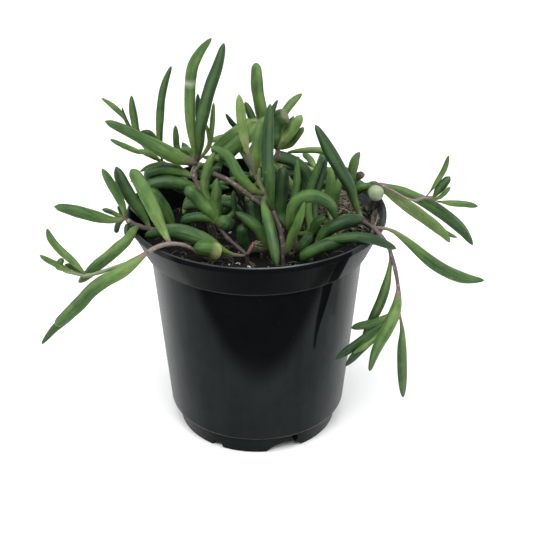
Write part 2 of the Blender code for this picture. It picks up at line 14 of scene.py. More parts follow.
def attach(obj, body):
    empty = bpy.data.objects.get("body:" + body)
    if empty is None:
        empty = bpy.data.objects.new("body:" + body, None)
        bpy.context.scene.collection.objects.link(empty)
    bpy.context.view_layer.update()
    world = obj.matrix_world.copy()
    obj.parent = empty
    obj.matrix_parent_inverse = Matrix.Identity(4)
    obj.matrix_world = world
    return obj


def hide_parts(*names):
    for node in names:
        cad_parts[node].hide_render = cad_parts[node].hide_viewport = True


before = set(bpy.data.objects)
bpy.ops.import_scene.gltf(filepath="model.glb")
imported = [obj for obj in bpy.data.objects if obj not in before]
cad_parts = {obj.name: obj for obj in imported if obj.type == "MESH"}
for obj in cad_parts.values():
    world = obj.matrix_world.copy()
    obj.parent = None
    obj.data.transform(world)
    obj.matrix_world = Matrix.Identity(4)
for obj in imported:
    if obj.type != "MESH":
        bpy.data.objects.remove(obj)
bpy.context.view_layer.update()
bpy.ops.object.select_all(action="DESELECT")

# Camera and studio.
# The plant stands on a plain white table in soft light from all round, brighter from the
# sides and from behind than from the front, which leaves the middle of the pot dark.
MM = 0.001
CAMERA_PLACE = Vector((0.0, -407.5, 285.9))
CAMERA_AIM = Vector((3.87, 0.0, 68.1))
CAMERA_LENS = 77.34
FLOOR_SIZE = 8.0
WORLD_BRIGHT = 0.85
WORLD_FRONT = 0.16


def aimed(name, data, place, aim):
    """A camera or a lamp at a place, pointed at its aim, both in metres."""
    holder = bpy.data.objects.new(name, data)
    holder.location = place
    holder.rotation_euler = (Vector(aim) - Vector(place)).to_track_quat("-Z", "Y").to_euler()
    bpy.context.collection.objects.link(holder)
    return holder


camera_data = bpy.data.cameras.new("camera")
camera_data.lens = CAMERA_LENS
camera_data.sensor_width = 36.0
camera_data.clip_start = 0.01
camera = aimed("camera", camera_data, CAMERA_PLACE * MM, CAMERA_AIM * MM)
bpy.context.scene.camera = camera
bpy.context.scene.view_settings.view_transform = "Standard"


def link(tree, source, target):
    """Joins an output to an input."""
    tree.links.new(source, target)


def add_node(tree, kind, inputs=None, **settings):
    """A node with its settings, and with its inputs set to values or joined to outputs."""
    node = tree.nodes.new(kind)
    for key, value in settings.items():
        setattr(node, key, value)
    for key, value in (inputs or {}).items():
        if isinstance(value, bpy.types.NodeSocket):
            link(tree, value, node.inputs[key])
        else:
            node.inputs[key].default_value = value
    return node


def new_material(name, roughness=0.5, **sockets):
    """A material, its tree, its shader with these plain values, and the object coordinates."""
    material = bpy.data.materials.new(name)
    material.use_nodes = True
    tree = material.node_tree
    shader = tree.nodes["Principled BSDF"]
    shader.inputs["Roughness"].default_value = roughness
    for key, value in sockets.items():
        shader.inputs[key.replace("_", " ")].default_value = value
    return material, tree, shader, add_node(tree, "ShaderNodeTexCoord").outputs["Object"]


def math_node(tree, operation, *values, clamp=False):
    """The output of a Math node whose inputs are outputs or numbers."""
    node = add_node(tree, "ShaderNodeMath", dict(enumerate(values)), operation=operation,
                    use_clamp=clamp)
    return node.outputs[0]


def smooth_step(tree, value, low, high, start=0.0, end=1.0):
    """A value that goes smoothly from start to end while the input goes from low to high."""
    limits = {"Value": value, "From Min": low, "From Max": high, "To Min": start, "To Max": end}
    node = add_node(tree, "ShaderNodeMapRange", limits, interpolation_type="SMOOTHSTEP")
    return node.outputs["Result"]


def mixed(tree, share, first, second):
    """The colour between two colours, each an output or three numbers."""
    first, second = ((*colour, 1.0) if isinstance(colour, tuple) else colour
                     for colour in (first, second))
    node = add_node(tree, "ShaderNodeMix", {0: share, 6: first, 7: second}, data_type="RGBA")
    return node.outputs[2]


def grain_group():
    """Shader group for fine unevenness: noise between two limits, and the same as a height."""
    tree = bpy.data.node_groups.new("fine_grain", "ShaderNodeTree")
    tree.interface.new_socket("Vector", in_out="INPUT", socket_type="NodeSocketVector")
    for name, value in (("Scale", 100.0), ("Detail", 3.0), ("Low", 0.0), ("High", 1.0)):
        socket = tree.interface.new_socket(name, in_out="INPUT", socket_type="NodeSocketFloat")
        socket.default_value = value
    for name in ("Value", "Height"):
        tree.interface.new_socket(name, in_out="OUTPUT", socket_type="NodeSocketFloat")
    given = tree.nodes.new("NodeGroupInput").outputs
    result = tree.nodes.new("NodeGroupOutput").inputs
    texture = add_node(tree, "ShaderNodeTexNoise",
                       {"Vector": given["Vector"], "Scale": given["Scale"],
                        "Detail": given["Detail"], "Roughness": 0.6})
    spread = add_node(tree, "ShaderNodeMapRange",
                      {"Value": texture.outputs["Fac"], "From Min": 0.3, "From Max": 0.7,
                       "To Min": given["Low"], "To Max": given["High"]})
    link(tree, spread.outputs["Result"], result["Value"])
    link(tree, texture.outputs["Fac"], result["Height"])
    return tree


FINE_GRAIN = grain_group()


def grain(tree, vector, scale, low=0.0, high=1.0, detail=3.0):
    """A placed copy of the fine grain group."""
    values = {"Vector": vector, "Scale": scale, "Detail": detail, "Low": low, "High": high}
    return add_node(tree, "ShaderNodeGroup", values, node_tree=FINE_GRAIN)


bpy.ops.mesh.primitive_plane_add(size=FLOOR_SIZE, location=(0, 0, 0))
floor = bpy.context.active_object
floor.name = "floor"
floor_white, tree, shader, place = new_material("table_white", roughness=0.7)
blotches = grain(tree, place, 9.0).outputs["Value"]
link(tree, mixed(tree, blotches, (0.955, 0.96, 0.965), (0.97, 0.97, 0.97)),
     shader.inputs["Base Color"])
floor.data.materials.append(floor_white)

world = bpy.data.worlds.new("studio")
bpy.context.scene.world = world
world.use_nodes = True
tree = world.node_tree
generated = add_node(tree, "ShaderNodeTexCoord").outputs["Generated"]
heading = add_node(tree, "ShaderNodeSeparateXYZ", {"Vector": generated})
beside = smooth_step(tree, math_node(tree, "ABSOLUTE", heading.outputs["X"]), 0.25, 0.72)
behind = smooth_step(tree, heading.outputs["Y"], -0.25, 0.35)
open_share = math_node(tree, "MAXIMUM", beside, behind)
background = tree.nodes["Background"]
background.inputs["Color"].default_value = (1.0, 1.0, 1.0, 1.0)
link(tree, smooth_step(tree, open_share, 0.0, 1.0, WORLD_FRONT, WORLD_BRIGHT),
     background.inputs["Strength"])

# Soft boxes: (name, place, aim, size, power).
for name, place, aim, size, power in (
        ("light_top", (-0.05, -0.5, 1.15), (0, 0, 0.08), 0.9, 20.0),
        ("light_left", (-1.0, -0.2, 0.6), (0, 0, 0.06), 0.8, 4.0),
        ("light_right", (1.0, -0.15, 0.6), (0, 0, 0.06), 0.7, 5.0)):
    lamp = bpy.data.lights.new(name, "AREA")
    lamp.size = size
    lamp.energy = power
    aimed(name, lamp, place, aim)

# Pot.
# A thin-walled nursery pot, moulded in one piece from black plastic, with a flared collar
# under a rolled lip, and a foot with arched notches and drain holes.
RIM_RADIUS = 51.0
POT_HEIGHT = 94.4
COLLAR_BOTTOM = 79.8
COLLAR_BOTTOM_RADIUS = 44.6
BODY_TOP_RADIUS = 42.4
BODY_BOTTOM_RADIUS = 36.2
FOOT_HEIGHT = 9.3
FOOT_RADIUS = 32.6
WALL = 1.3
FLOOR_TOP = 3.4
PAD_RADIUS = 14.0
RECESS_HEIGHT = 1.4
LIP_HEIGHT = 2.4
LIP_BOTTOM = POT_HEIGHT - LIP_HEIGHT
MIDDLE_RING = 4.0
INSIDE_HEIGHTS = [FLOOR_TOP, FOOT_HEIGHT - 1.5, FOOT_HEIGHT + 1.3, COLLAR_BOTTOM - 0.5,
                  COLLAR_BOTTOM + 2.6, LIP_BOTTOM]
INSIDE_RADII = [FOOT_RADIUS - WALL - 0.4, FOOT_RADIUS - WALL, BODY_BOTTOM_RADIUS - WALL,
                BODY_TOP_RADIUS - WALL, COLLAR_BOTTOM_RADIUS - 0.4, RIM_RADIUS - WALL - 1.1]
POT_SIDES = 128
CREASE_ANGLE = 34
WIDE_NOTCHES = (-70, 50, 170)
NARROW_NOTCHES = (-10, 110, -120)
DRAIN_TURN = 7


def inner_radius(height):
    """The pot's inside radius at this height."""
    return float(np.interp(height, INSIDE_HEIGHTS, INSIDE_RADII))


def pot_rings():
    """(radius, height) of the pot's rings, inside first, then over the lip and under the foot."""
    # Each corner is (radius, height, how far it is rounded).
    corners = [
        (MIDDLE_RING, FLOOR_TOP, 0),
        *((inner_radius(height), height, 0.5) for height in INSIDE_HEIGHTS),
        (RIM_RADIUS - 1.5, POT_HEIGHT - 0.1, 0.6), (RIM_RADIUS - 0.1, POT_HEIGHT - 0.1, 0.6),
        (RIM_RADIUS, LIP_BOTTOM + 0.1, 0.35), (RIM_RADIUS - 0.8, LIP_BOTTOM - 0.1, 0.3),
        (COLLAR_BOTTOM_RADIUS, COLLAR_BOTTOM, 0.25), (BODY_TOP_RADIUS, COLLAR_BOTTOM - 0.8, 0.3),
        (BODY_BOTTOM_RADIUS, FOOT_HEIGHT, 0.4), (BODY_BOTTOM_RADIUS - 0.6, FOOT_HEIGHT - 0.9, 0.4),
        (FOOT_RADIUS + 0.7, FOOT_HEIGHT - 1.9, 0.3), (FOOT_RADIUS, 0.0, 0.3),
        (FOOT_RADIUS - 2.4, 0.0, 0.3), (FOOT_RADIUS - 2.9, RECESS_HEIGHT, 0.3),
        (PAD_RADIUS + 0.4, RECESS_HEIGHT, 0.2), (PAD_RADIUS, 0.0, 0.2), (MIDDLE_RING, 0.0, 0)]
    rings = []
    for index, (radius, height, rounding) in enumerate(corners):
        here = Vector((radius, height))
        if not rounding:
            rings.append(tuple(here))
            continue
        before = Vector(corners[index - 1][:2]) - here
        after = Vector(corners[index + 1][:2]) - here
        first = here + before.normalized() * min(rounding, before.length * 0.45)
        last = here + after.normalized() * min(rounding, after.length * 0.45)
        for share in (0.0, 0.33, 0.67, 1.0):
            rings.append(tuple(first.lerp(here, share).lerp(here.lerp(last, share), share)))
    return rings


def select_open_edge():
    """Goes to edit mode and selects the open edge all round."""
    bpy.ops.object.mode_set(mode="EDIT")
    bpy.ops.mesh.select_mode(type="EDGE")
    bpy.ops.mesh.select_all(action="SELECT")
    bpy.ops.mesh.region_to_loop()


def close_end(obj):
    """Closes the last ring with a fan, merges doubles and turns all faces outwards."""
    bpy.ops.mesh.edge_face_add()
    bpy.ops.mesh.poke()
    bpy.ops.object.mode_set(mode="OBJECT")
    bpy.context.view_layer.objects.active = obj
    bpy.ops.object.mode_set(mode="EDIT")
    bpy.ops.mesh.select_mode(type="VERT")
    bpy.ops.mesh.select_all(action="SELECT")
    bpy.ops.mesh.remove_doubles(threshold=0.000005)
    bpy.ops.mesh.normals_make_consistent(inside=False)
    bpy.ops.mesh.select_all(action="DESELECT")
    bpy.ops.object.mode_set(mode="OBJECT")


rings = pot_rings()
bpy.ops.mesh.primitive_circle_add(vertices=POT_SIDES, radius=rings[0][0] * MM, fill_type="TRIFAN",
                                  location=(0, 0, rings[0][1] * MM))
pot = bpy.context.active_object
pot.name = "pot_shell"
bpy.ops.object.transform_apply(location=True)
select_open_edge()
for (radius, height), (wider, higher) in zip(rings, rings[1:]):
    rise = (higher - height) * MM
    bpy.ops.mesh.extrude_edges_move(TRANSFORM_OT_translate={"value": (0, 0, rise)})
    bpy.ops.transform.resize(value=(wider / radius, wider / radius, 1.0))
close_end(pot)


def cut_through_wall(name, turn, radius, height, tilt, sides):
    """Cuts a round notch or hole through the foot at an angle round the pot."""
    reach = (FOOT_RADIUS - 0.5) * MM
    angle = math.radians(turn)
    bpy.ops.mesh.primitive_cylinder_add(
        vertices=sides, radius=radius * MM, depth=9.0 * MM,
        location=(reach * math.cos(angle), reach * math.sin(angle), height * MM),
        rotation=(0, math.pi / 2 - math.radians(tilt), angle))
    cutter = bpy.context.active_object
    modifier = pot.modifiers.new(name, "BOOLEAN")
    modifier.operation = "DIFFERENCE"
    modifier.solver = "EXACT"
    modifier.object = cutter
    bpy.context.view_layer.objects.active = pot
    bpy.ops.object.modifier_apply(modifier=name)
    bpy.data.objects.remove(cutter, do_unlink=True)


for wide, narrow in zip(WIDE_NOTCHES, NARROW_NOTCHES):
    cut_through_wall("notch_wide", wide, radius=10.0, height=-6.3, tilt=5.0, sides=64)
    cut_through_wall("notch_narrow", narrow, radius=2.4, height=0.1, tilt=0.0, sides=24)
    cut_through_wall("drain", wide + DRAIN_TURN, radius=1.7, height=4.4, tilt=13.7, sides=24)
bpy.ops.object.select_all(action="DESELECT")
pot.select_set(True)
bpy.ops.object.shade_smooth_by_angle(angle=math.radians(CREASE_ANGLE))


def times(tree, first, *others):
    """The product of outputs and numbers."""
    for other in others:
        first = math_node(tree, "MULTIPLY", first, other)
    return first


def off_line(tree, value, middle):
    """How far a value is from its middle, to either side."""
    return math_node(tree, "ABSOLUTE", math_node(tree, "SUBTRACT", value, middle))


def bumped(tree, shader, strength, distance, *heights):
    """Sends a height, or the sum of two, to the shader's normal."""
    height = heights[0] if len(heights) == 1 else math_node(tree, "ADD", *heights)
    bump = add_node(tree, "ShaderNodeBump",
                    {"Strength": strength, "Distance": distance, "Height": height})
    link(tree, bump.outputs["Normal"], shader.inputs["Normal"])


# Angles are in degrees from the middle of the front, to the right. Where the dust and painted
# reflection on the lower wall end rises with the square of the angle, and a painted dark
# reflection streak leans to the right.
DUST_REFLECTION_END, DUST_REFLECTION_RISE, DUST_REFLECTION_MIDDLE = 41.0, 0.034, 1.5
STREAK_FOOT, STREAK_FOOT_ANGLE = 52.0, 33.5
STREAK_HEAD, STREAK_HEAD_ANGLE = 84.0, 39.5
DUST_AND_LIGHT_COVER = 0.12
# The radius of the collar's outer face is its slope times the height, and this much more.
COLLAR_SLOPE, COLLAR_OFFSET = 0.467, 7.33
pot_plastic, tree, shader, place = new_material("pot_black_plastic", Specular_IOR_Level=0.0,
                                                Coat_Roughness=0.2)
where = add_node(tree, "ShaderNodeSeparateXYZ", {"Vector": place})
right, back, up = (where.outputs[axis] for axis in "XYZ")
height = math_node(tree, "DIVIDE", up, MM)
turn = math_node(tree, "DEGREES", math_node(tree, "ARCTAN2", right, times(tree, back, -1.0)))
reach = math_node(tree, "SQRT", math_node(tree, "MULTIPLY_ADD", right, right,
                                          times(tree, back, back)))
reach = math_node(tree, "DIVIDE", reach, MM)
clouds = grain(tree, place, 42.0, detail=5.0)
drawn_out = add_node(tree, "ShaderNodeMapping", {"Vector": place, "Scale": (1.0, 1.0, 0.12)})
streaks = grain(tree, drawn_out.outputs["Vector"], 240.0)

# Dust and painted reflection pale the lower wall up to a line that climbs towards the sides,
# and painted sheen pales the sides further.
off_centre = math_node(tree, "SUBTRACT", turn, DUST_REFLECTION_MIDDLE)
dust_reflection_line = math_node(tree, "MULTIPLY_ADD", times(tree, off_centre, off_centre), DUST_REFLECTION_RISE,
                      DUST_REFLECTION_END)
above_line = math_node(tree, "SUBTRACT", height, dust_reflection_line)
lower_dust_and_reflection = smooth_step(tree, above_line, -10.0, 9.0, 0.85, 0.0)
# Painted sheen: the wall is paler towards either side, away from the front.
painted_side_sheen = smooth_step(tree, off_line(tree, turn, -1.0), 19.0, 64.0, 0.0, 1.4)
# Painted dark reflection: a streak right of the front, leaning further right and widening as it
# climbs, is left without the pale colour.
streak_angle = smooth_step(tree, height, STREAK_FOOT, STREAK_HEAD, STREAK_FOOT_ANGLE,
                           STREAK_HEAD_ANGLE)
streak_width = smooth_step(tree, height, 50.0, 80.0, 0.8, 3.4)
past_streak = math_node(tree, "SUBTRACT", off_line(tree, turn, streak_angle), streak_width)
dark_reflection_streak = times(tree, smooth_step(tree, past_streak, -0.5, 0.6, 1.0, 0.0),
              smooth_step(tree, height, STREAK_FOOT - 4.0, STREAK_FOOT))
off_reflection_streak = math_node(tree, "SUBTRACT", 1.0, dark_reflection_streak)
dust_and_painted_light = times(tree, lower_dust_and_reflection, math_node(tree, "ADD", painted_side_sheen, 1.0), off_reflection_streak)

# All of it stays off the inside, but the inside of the collar is paler from the right round to
# the back. Painted highlights line the top of the lip and the step under the collar.
collar_face = math_node(tree, "MULTIPLY_ADD", height, COLLAR_SLOPE, COLLAR_OFFSET)
outside = smooth_step(tree, math_node(tree, "SUBTRACT", reach, collar_face), -1.3, -0.7)
below_collar = smooth_step(tree, height, 80.0, 78.0)
dust_and_painted_light = times(tree, dust_and_painted_light, math_node(tree, "MAXIMUM", outside, below_collar))
# Painted highlight: a thin pale line on the top of the lip, strongest a little right of the front.
lip_line = times(tree, smooth_step(tree, reach, 49.9, 50.25),
                 smooth_step(tree, reach, 50.9, 50.55))
lip_glint = smooth_step(tree, off_line(tree, turn, 7.0), 4.0, 22.0, 9.0, 2.6)
painted_lip_highlight = times(tree, smooth_step(tree, height, 93.85, 94.2), lip_line, lip_glint)
# Painted highlight: a thin pale line along the step under the collar.
painted_step_highlight = times(tree, smooth_step(tree, height, 78.7, 79.0),
                  smooth_step(tree, height, 80.5, 80.1, 0.0, 1.5))
inside_right = times(tree, smooth_step(tree, turn, 62.0, 80.0, 0.0, 3.6),
                     math_node(tree, "SUBTRACT", 1.0, outside),
                     smooth_step(tree, height, 79.0, 82.0))
for more in (math_node(tree, "MAXIMUM", painted_lip_highlight, painted_step_highlight), inside_right):
    dust_and_painted_light = math_node(tree, "MAXIMUM", dust_and_painted_light, more)
cloudy = math_node(tree, "MULTIPLY_ADD", clouds.outputs["Value"], 0.35, 0.70)
uneven = math_node(tree, "MULTIPLY_ADD", streaks.outputs["Value"], 0.25, cloudy)
dust_and_painted_light = math_node(tree, "MULTIPLY", times(tree, dust_and_painted_light, uneven), DUST_AND_LIGHT_COVER, clamp=True)

specks = grain(tree, place, 1500.0, detail=1.0)
speck_share = smooth_step(tree, specks.outputs["Height"], 0.72, 0.78, 0.0, 0.25)
# One pale colour serves the dust and the painted reflection, sheen and highlights, over near-black
# plastic with brown specks of dirt.
black = mixed(tree, clouds.outputs["Value"], (0.0018, 0.0024, 0.0026), (0.0035, 0.0042, 0.0044))
dust_and_light_colour = mixed(tree, dust_and_painted_light, black, (0.100, 0.118, 0.116))
link(tree, mixed(tree, speck_share, dust_and_light_colour, (0.06, 0.055, 0.048)), shader.inputs["Base Color"])
link(tree, math_node(tree, "ADD", times(tree, clouds.outputs["Value"], 0.10), 0.24),
     shader.inputs["Roughness"])
grazing = add_node(tree, "ShaderNodeLayerWeight", {"Blend": 0.5})
gloss = times(tree, smooth_step(tree, grazing.outputs["Facing"], 0.40, 0.80, 0.0, 0.40),
              smooth_step(tree, height, 79.0, 80.0, 1.0, 0.55))
# The coat gloss is lower on the collar and in the painted dark reflection streak.
link(tree, math_node(tree, "MULTIPLY_ADD", gloss, off_reflection_streak, 0.018), shader.inputs["Coat Weight"])
skin = grain(tree, place, 700.0, detail=4.0)
bumped(tree, shader, 0.12, 0.0001, skin.outputs["Height"], streaks.outputs["Height"])
pot.data.materials.append(pot_plastic)
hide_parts("pot")
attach(pot, "root")

# Soil.
# Dark peat that fills the pot to below its rim, with a mound of old fibres at the right
# wall, loose crumbs, white grit and dry roots on top.
SOIL_TOP = 82.0
GAP = 0.35
SOIL_CELLS = 190
SOIL_SEED = 7
LITTER_REACH = 42.2
# (x, y, height) of each mound.
MOUNDS = ((37, 9, 7.0), (-22, -34, 2.6))
MOUND_SPREAD = 150


def soil_height(x, y):
    """Height of the surface: low bumps, a mound at the right wall and one at the front left."""
    bumps = (0.6 * math.sin(x / 6.5 + 1.0) * math.cos(y / 8.0)
             + 0.4 * math.sin((x + 2 * y) / 5.5))
    height = SOIL_TOP + bumps
    for mound_x, mound_y, mound_height in MOUNDS:
        off_mound = (x - mound_x) ** 2 + (y - mound_y) ** 2
        height += mound_height * math.exp(-off_mound / MOUND_SPREAD)
    return height


def rough_soil_height(x, y):
    """The surface with its lumps and crumbs."""
    lumps = noise.fractal(Vector((x * 0.22, y * 0.22, 3.0)), 0.9, 2.1, 5) * 0.75
    crumbs = abs(noise.noise(Vector((x * 1.1, y * 1.1, 9.0)))) * 0.7
    return soil_height(x, y) + lumps + crumbs - 0.25


bpy.ops.mesh.primitive_grid_add(x_subdivisions=SOIL_CELLS, y_subdivisions=SOIL_CELLS, size=2.0)
soil = bpy.context.active_object
soil.name = "soil_peat"
edge = inner_radius(SOIL_TOP) - GAP
for vertex in soil.data.vertices:
    across, along = vertex.co.x, vertex.co.y
    x = across * math.sqrt(1 - along ** 2 / 2) * edge
    y = along * math.sqrt(1 - across ** 2 / 2) * edge
    height = rough_soil_height(x, y)
    room = (inner_radius(height) - GAP) / edge
    vertex.co = Vector((x * room, y * room, height)) * MM
select_open_edge()
for height in (*INSIDE_HEIGHTS[3:0:-1], FLOOR_TOP + GAP):
    bpy.ops.mesh.extrude_edges_move(TRANSFORM_OT_translate={"value": (0, 0, 0)})
    bpy.ops.object.mode_set(mode="OBJECT")
    for vertex in soil.data.vertices:
        if vertex.select:
            outward = Vector((vertex.co.x, vertex.co.y, 0)).normalized()
            outward *= (inner_radius(height) - GAP) * MM
            vertex.co = Vector((outward.x, outward.y, height * MM))
    bpy.ops.object.mode_set(mode="EDIT")
close_end(soil)
soil.data.shade_smooth()

soil_material, tree, shader, place = new_material("peat", roughness=0.95,
                                                  Specular_IOR_Level=0.25)
patches = grain(tree, place, 120.0, detail=6.0)
fine = grain(tree, place, 900.0, detail=4.0)
dark = mixed(tree, patches.outputs["Value"], (0.0022, 0.0024, 0.0022), (0.0072, 0.0066, 0.0055))
pale_share = smooth_step(tree, fine.outputs["Height"], 0.60, 0.74, 0.0, 0.28)
link(tree, mixed(tree, pale_share, dark, (0.095, 0.083, 0.065)), shader.inputs["Base Color"])
bumped(tree, shader, 0.9, 0.0006, fine.outputs["Height"])
soil.data.materials.append(soil_material)
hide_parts("soil")
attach(soil, "root")


def joined(pieces, name):
    """The pieces as one object of this name."""
    bpy.ops.object.select_all(action="DESELECT")
    for piece in pieces:
        piece.select_set(True)
    bpy.context.view_layer.objects.active = pieces[0]
    bpy.ops.object.join()
    pieces[0].name = name
    pieces[0].data.name = name
    bpy.ops.object.select_all(action="DESELECT")
    return pieces[0]


def own_copy(template, name, points):
    """A copy of an object with its own mesh, whose vertices are at these points."""
    piece = template.copy()
    piece.data = template.data.copy()
    piece.name = name
    piece.data.vertices.foreach_set("co", (points * MM).ravel())
    bpy.context.collection.objects.link(piece)
    return piece


def vertex_array(mesh):
    """The mesh's vertex places as an array."""
    flat = np.empty(len(mesh.vertices) * 3)
    mesh.vertices.foreach_get("co", flat)
    return flat.reshape(-1, 3)


def spot_on_soil(rng, near, spread):
    """A drawn place on the soil, all over it or near a point, kept inside the wall."""
    if near is None:
        angle, reach = rng.uniform(0, 2 * math.pi), LITTER_REACH * math.sqrt(rng.random())
        return reach * math.cos(angle), reach * math.sin(angle)
    x, y = rng.gauss(near[0], spread), rng.gauss(near[1], spread)
    inward = min(1.0, LITTER_REACH / math.hypot(x, y))
    return x * inward, y * inward


def scattered(name, template, count, sizes, rng, near=None, spread=8.0):
    """Copies of a lump, each turned and stretched at random, resting on the soil."""
    shape = vertex_array(template.data)
    pieces = []
    for index in range(count):
        x, y = spot_on_soil(rng, near, spread)
        size = rng.uniform(*sizes)
        stretch = np.array([rng.uniform(0.7, 1.5), rng.uniform(0.6, 1.0), rng.uniform(0.5, 1.0)])
        turn = Matrix.Rotation(rng.uniform(0, 6.28), 3, "Z")
        turn = turn @ Matrix.Rotation(rng.uniform(-0.6, 0.6), 3, "X")
        wobble = np.array([[rng.uniform(0.75, 1.25)] for _ in range(len(shape))])
        points = (shape * stretch * wobble * size) @ np.array(turn.transposed())
        points += np.array([x, y, rough_soil_height(x, y) + size * 0.25])
        pieces.append(own_copy(template, f"{name}_{index}", points))
    return joined(pieces, name)


bpy.ops.mesh.primitive_ico_sphere_add(subdivisions=1, radius=1.0)
lump = bpy.context.active_object
rng = random.Random(SOIL_SEED)
crumbs = joined([
    scattered("crumbs_all", lump, 650, (0.25, 0.9), rng),
    scattered("crumbs_mound", lump, 260, (0.4, 1.1), rng, near=(38, 12), spread=7.0),
    scattered("crumbs_front", lump, 110, (0.25, 0.7), rng, near=(-22, -34), spread=6.0),
], "soil_crumbs")
crumb_brown, tree, shader, place = new_material("peat_crumbs", roughness=0.95,
                                                Specular_IOR_Level=0.2)
by_lump = grain(tree, place, 260.0, detail=1.0)
fine = grain(tree, place, 1600.0)
browns = mixed(tree, by_lump.outputs["Value"], (0.0033, 0.003, 0.0026), (0.024, 0.020, 0.015))
link(tree, mixed(tree, fine.outputs["Value"], browns, (0.012, 0.008, 0.006)),
     shader.inputs["Base Color"])
bumped(tree, shader, 0.8, 0.0004, fine.outputs["Height"])
crumbs.data.materials.append(crumb_brown)

# (x, y) of the white grains that show, then a few more drawn over the rest.
grit_places = [(-29, 2), (-27, 4), (11, -25), (-40, -19), (-6, -14), (29, -30), (32, -28),
               (12, -27)]
grit = [scattered(f"grit_{index}", lump, 1, (0.55, 0.9), rng, near=spot, spread=0.3)
        for index, spot in enumerate(grit_places)]
grit.append(scattered("grit_more", lump, 34, (0.3, 0.8), rng))
white_grit = joined(grit, "soil_grit")
bpy.data.objects.remove(lump, do_unlink=True)
grit_white, tree, shader, place = new_material("white_grit", roughness=0.9)
stain = grain(tree, place, 1100.0)
link(tree, mixed(tree, stain.outputs["Value"], (0.62, 0.58, 0.50), (0.30, 0.25, 0.19)),
     shader.inputs["Base Color"])
bumped(tree, shader, 0.5, 0.0003, stain.outputs["Height"])
white_grit.data.materials.append(grit_white)


def unit_rod(name, sides, rings, crowding):
    """A closed rod of radius 1 from 0 to 1 along Z, whose rings crowd towards its end."""
    bpy.ops.mesh.primitive_cylinder_add(vertices=sides, radius=1.0, depth=1.0,
                                        end_fill_type="TRIFAN", location=(0, 0, 0.5))
    rod = bpy.context.active_object
    rod.name = name
    bpy.ops.object.transform_apply(location=True)
    bpy.ops.object.mode_set(mode="EDIT")
    bpy.ops.mesh.select_mode(type="EDGE")
    bpy.ops.mesh.select_all(action="DESELECT")
    shape = bmesh.from_edit_mesh(rod.data)
    for edge in shape.edges:
        edge.select_set(abs(edge.verts[0].co.z - edge.verts[1].co.z) > 0.5)
    bmesh.update_edit_mesh(rod.data)
    bpy.ops.mesh.subdivide(number_cuts=rings - 2)
    bpy.ops.object.mode_set(mode="OBJECT")
    for vertex in rod.data.vertices:
        vertex.co.z = 1 - (1 - min(1.0, vertex.co.z)) ** crowding
    rod.data.shade_smooth()
    return rod


def between(before, start, end, after, share):
    """A point on a centripetal Catmull-Rom span from start to end."""
    knots = [0.0]
    for first, second in ((before, start), (start, end), (end, after)):
        knots.append(knots[-1] + math.sqrt((second - first).length))
    place = knots[1] + share * (knots[2] - knots[1])

    def mix(first, second, low, high):
        return first.lerp(second, (place - knots[low]) / (knots[high] - knots[low]))

    one, two, three = mix(before, start, 0, 1), mix(start, end, 1, 2), mix(end, after, 2, 3)
    return mix(mix(one, two, 0, 2), mix(two, three, 1, 3), 1, 2)


SAMPLES_PER_SPAN = 10


def smooth_path(points):
    """A closely spaced smooth line through the points, in millimetres."""
    points = [Vector(point) for point in points]
    ends = [2 * points[0] - points[1], *points, 2 * points[-1] - points[-2]]
    path = []
    for index in range(len(points) - 1):
        for step in range(SAMPLES_PER_SPAN):
            path.append(between(*ends[index:index + 4], step / SAMPLES_PER_SPAN))
    path.append(points[-1])
    return path


def line_frames(path, top):
    """The share of the length, the place, the side and the top direction along a path."""
    line = np.array([tuple(point) for point in path])
    steps = np.linalg.norm(np.diff(line, axis=0), axis=1)
    travelled = np.concatenate([[0.0], np.cumsum(steps)])
    headings = np.gradient(line, axis=0)
    headings /= np.linalg.norm(headings, axis=1)[:, None]
    upward = np.array(top, float)
    tops = []
    for heading in headings:
        upward = upward - (upward @ heading) * heading
        upward /= np.linalg.norm(upward)
        tops.append(upward)
    return travelled / travelled[-1], line, np.cross(headings, tops), np.array(tops)


def laid_along(template, name, path, width_at, top=(0, 0, 1), depth=1.0, roll=0.0):
    """A copy of a unit rod laid along a path, width_at giving its half width at its points."""
    shares, line, sides, tops = line_frames(path, top)
    points = vertex_array(template.data)

    def at(rows):
        return np.stack([np.interp(points[:, 2], shares, rows[:, axis]) for axis in range(3)],
                        axis=1)

    across, above = points[:, :1], points[:, 1:2] * depth
    turned_x = across * math.cos(roll) - above * math.sin(roll)
    turned_y = across * math.sin(roll) + above * math.cos(roll)
    offsets = turned_x * at(sides) + turned_y * at(tops)
    piece = own_copy(template, name, at(line) + width_at(points)[:, None] * offsets)
    piece.data.update()
    return piece


fibre_rod = unit_rod("fibre_rod", 4, 6, 1.0)


def dry_strand(name, points, half_width, thinning=0.6):
    """One dry fibre or root through these points, thinner towards its end."""
    return laid_along(fibre_rod, name, smooth_path(points),
                      lambda rod: half_width * (1 - thinning * rod[:, 2]))


def bowed(start, heading, length, lift, bend):
    """The points of a fibre that starts at a point and bows over to lie on the soil."""
    x, y, z = start
    points = [start]
    for share in (0.35, 0.7, 1.0):
        turn, reach = heading + bend * share, length * share
        points.append((x + reach * math.cos(turn), y + reach * math.sin(turn),
                       z + lift * math.sin(share * math.pi * 0.85)))
    return points


def fibre_tangle(name, count, lengths, widths, near=None, spread=6.0, heap=0.1):
    """A scatter of dry fibres on the soil."""
    pieces = []
    for index in range(count):
        x, y = spot_on_soil(rng, near, spread)
        length = rng.uniform(*lengths)
        heading = rng.uniform(0, 6.28)
        end = (x + length * math.cos(heading), y + length * math.sin(heading))
        if math.hypot(*end) > LITTER_REACH:
            heading = math.atan2(-y, -x)
        start = (x, y, rough_soil_height(x, y) + rng.uniform(0.1, heap))
        points = bowed(start, heading, length, rng.uniform(0.2, 2.0), rng.uniform(-1.2, 1.2))
        pieces.append(dry_strand(f"{name}_{index}", points, rng.uniform(*widths)))
    return joined(pieces, name)


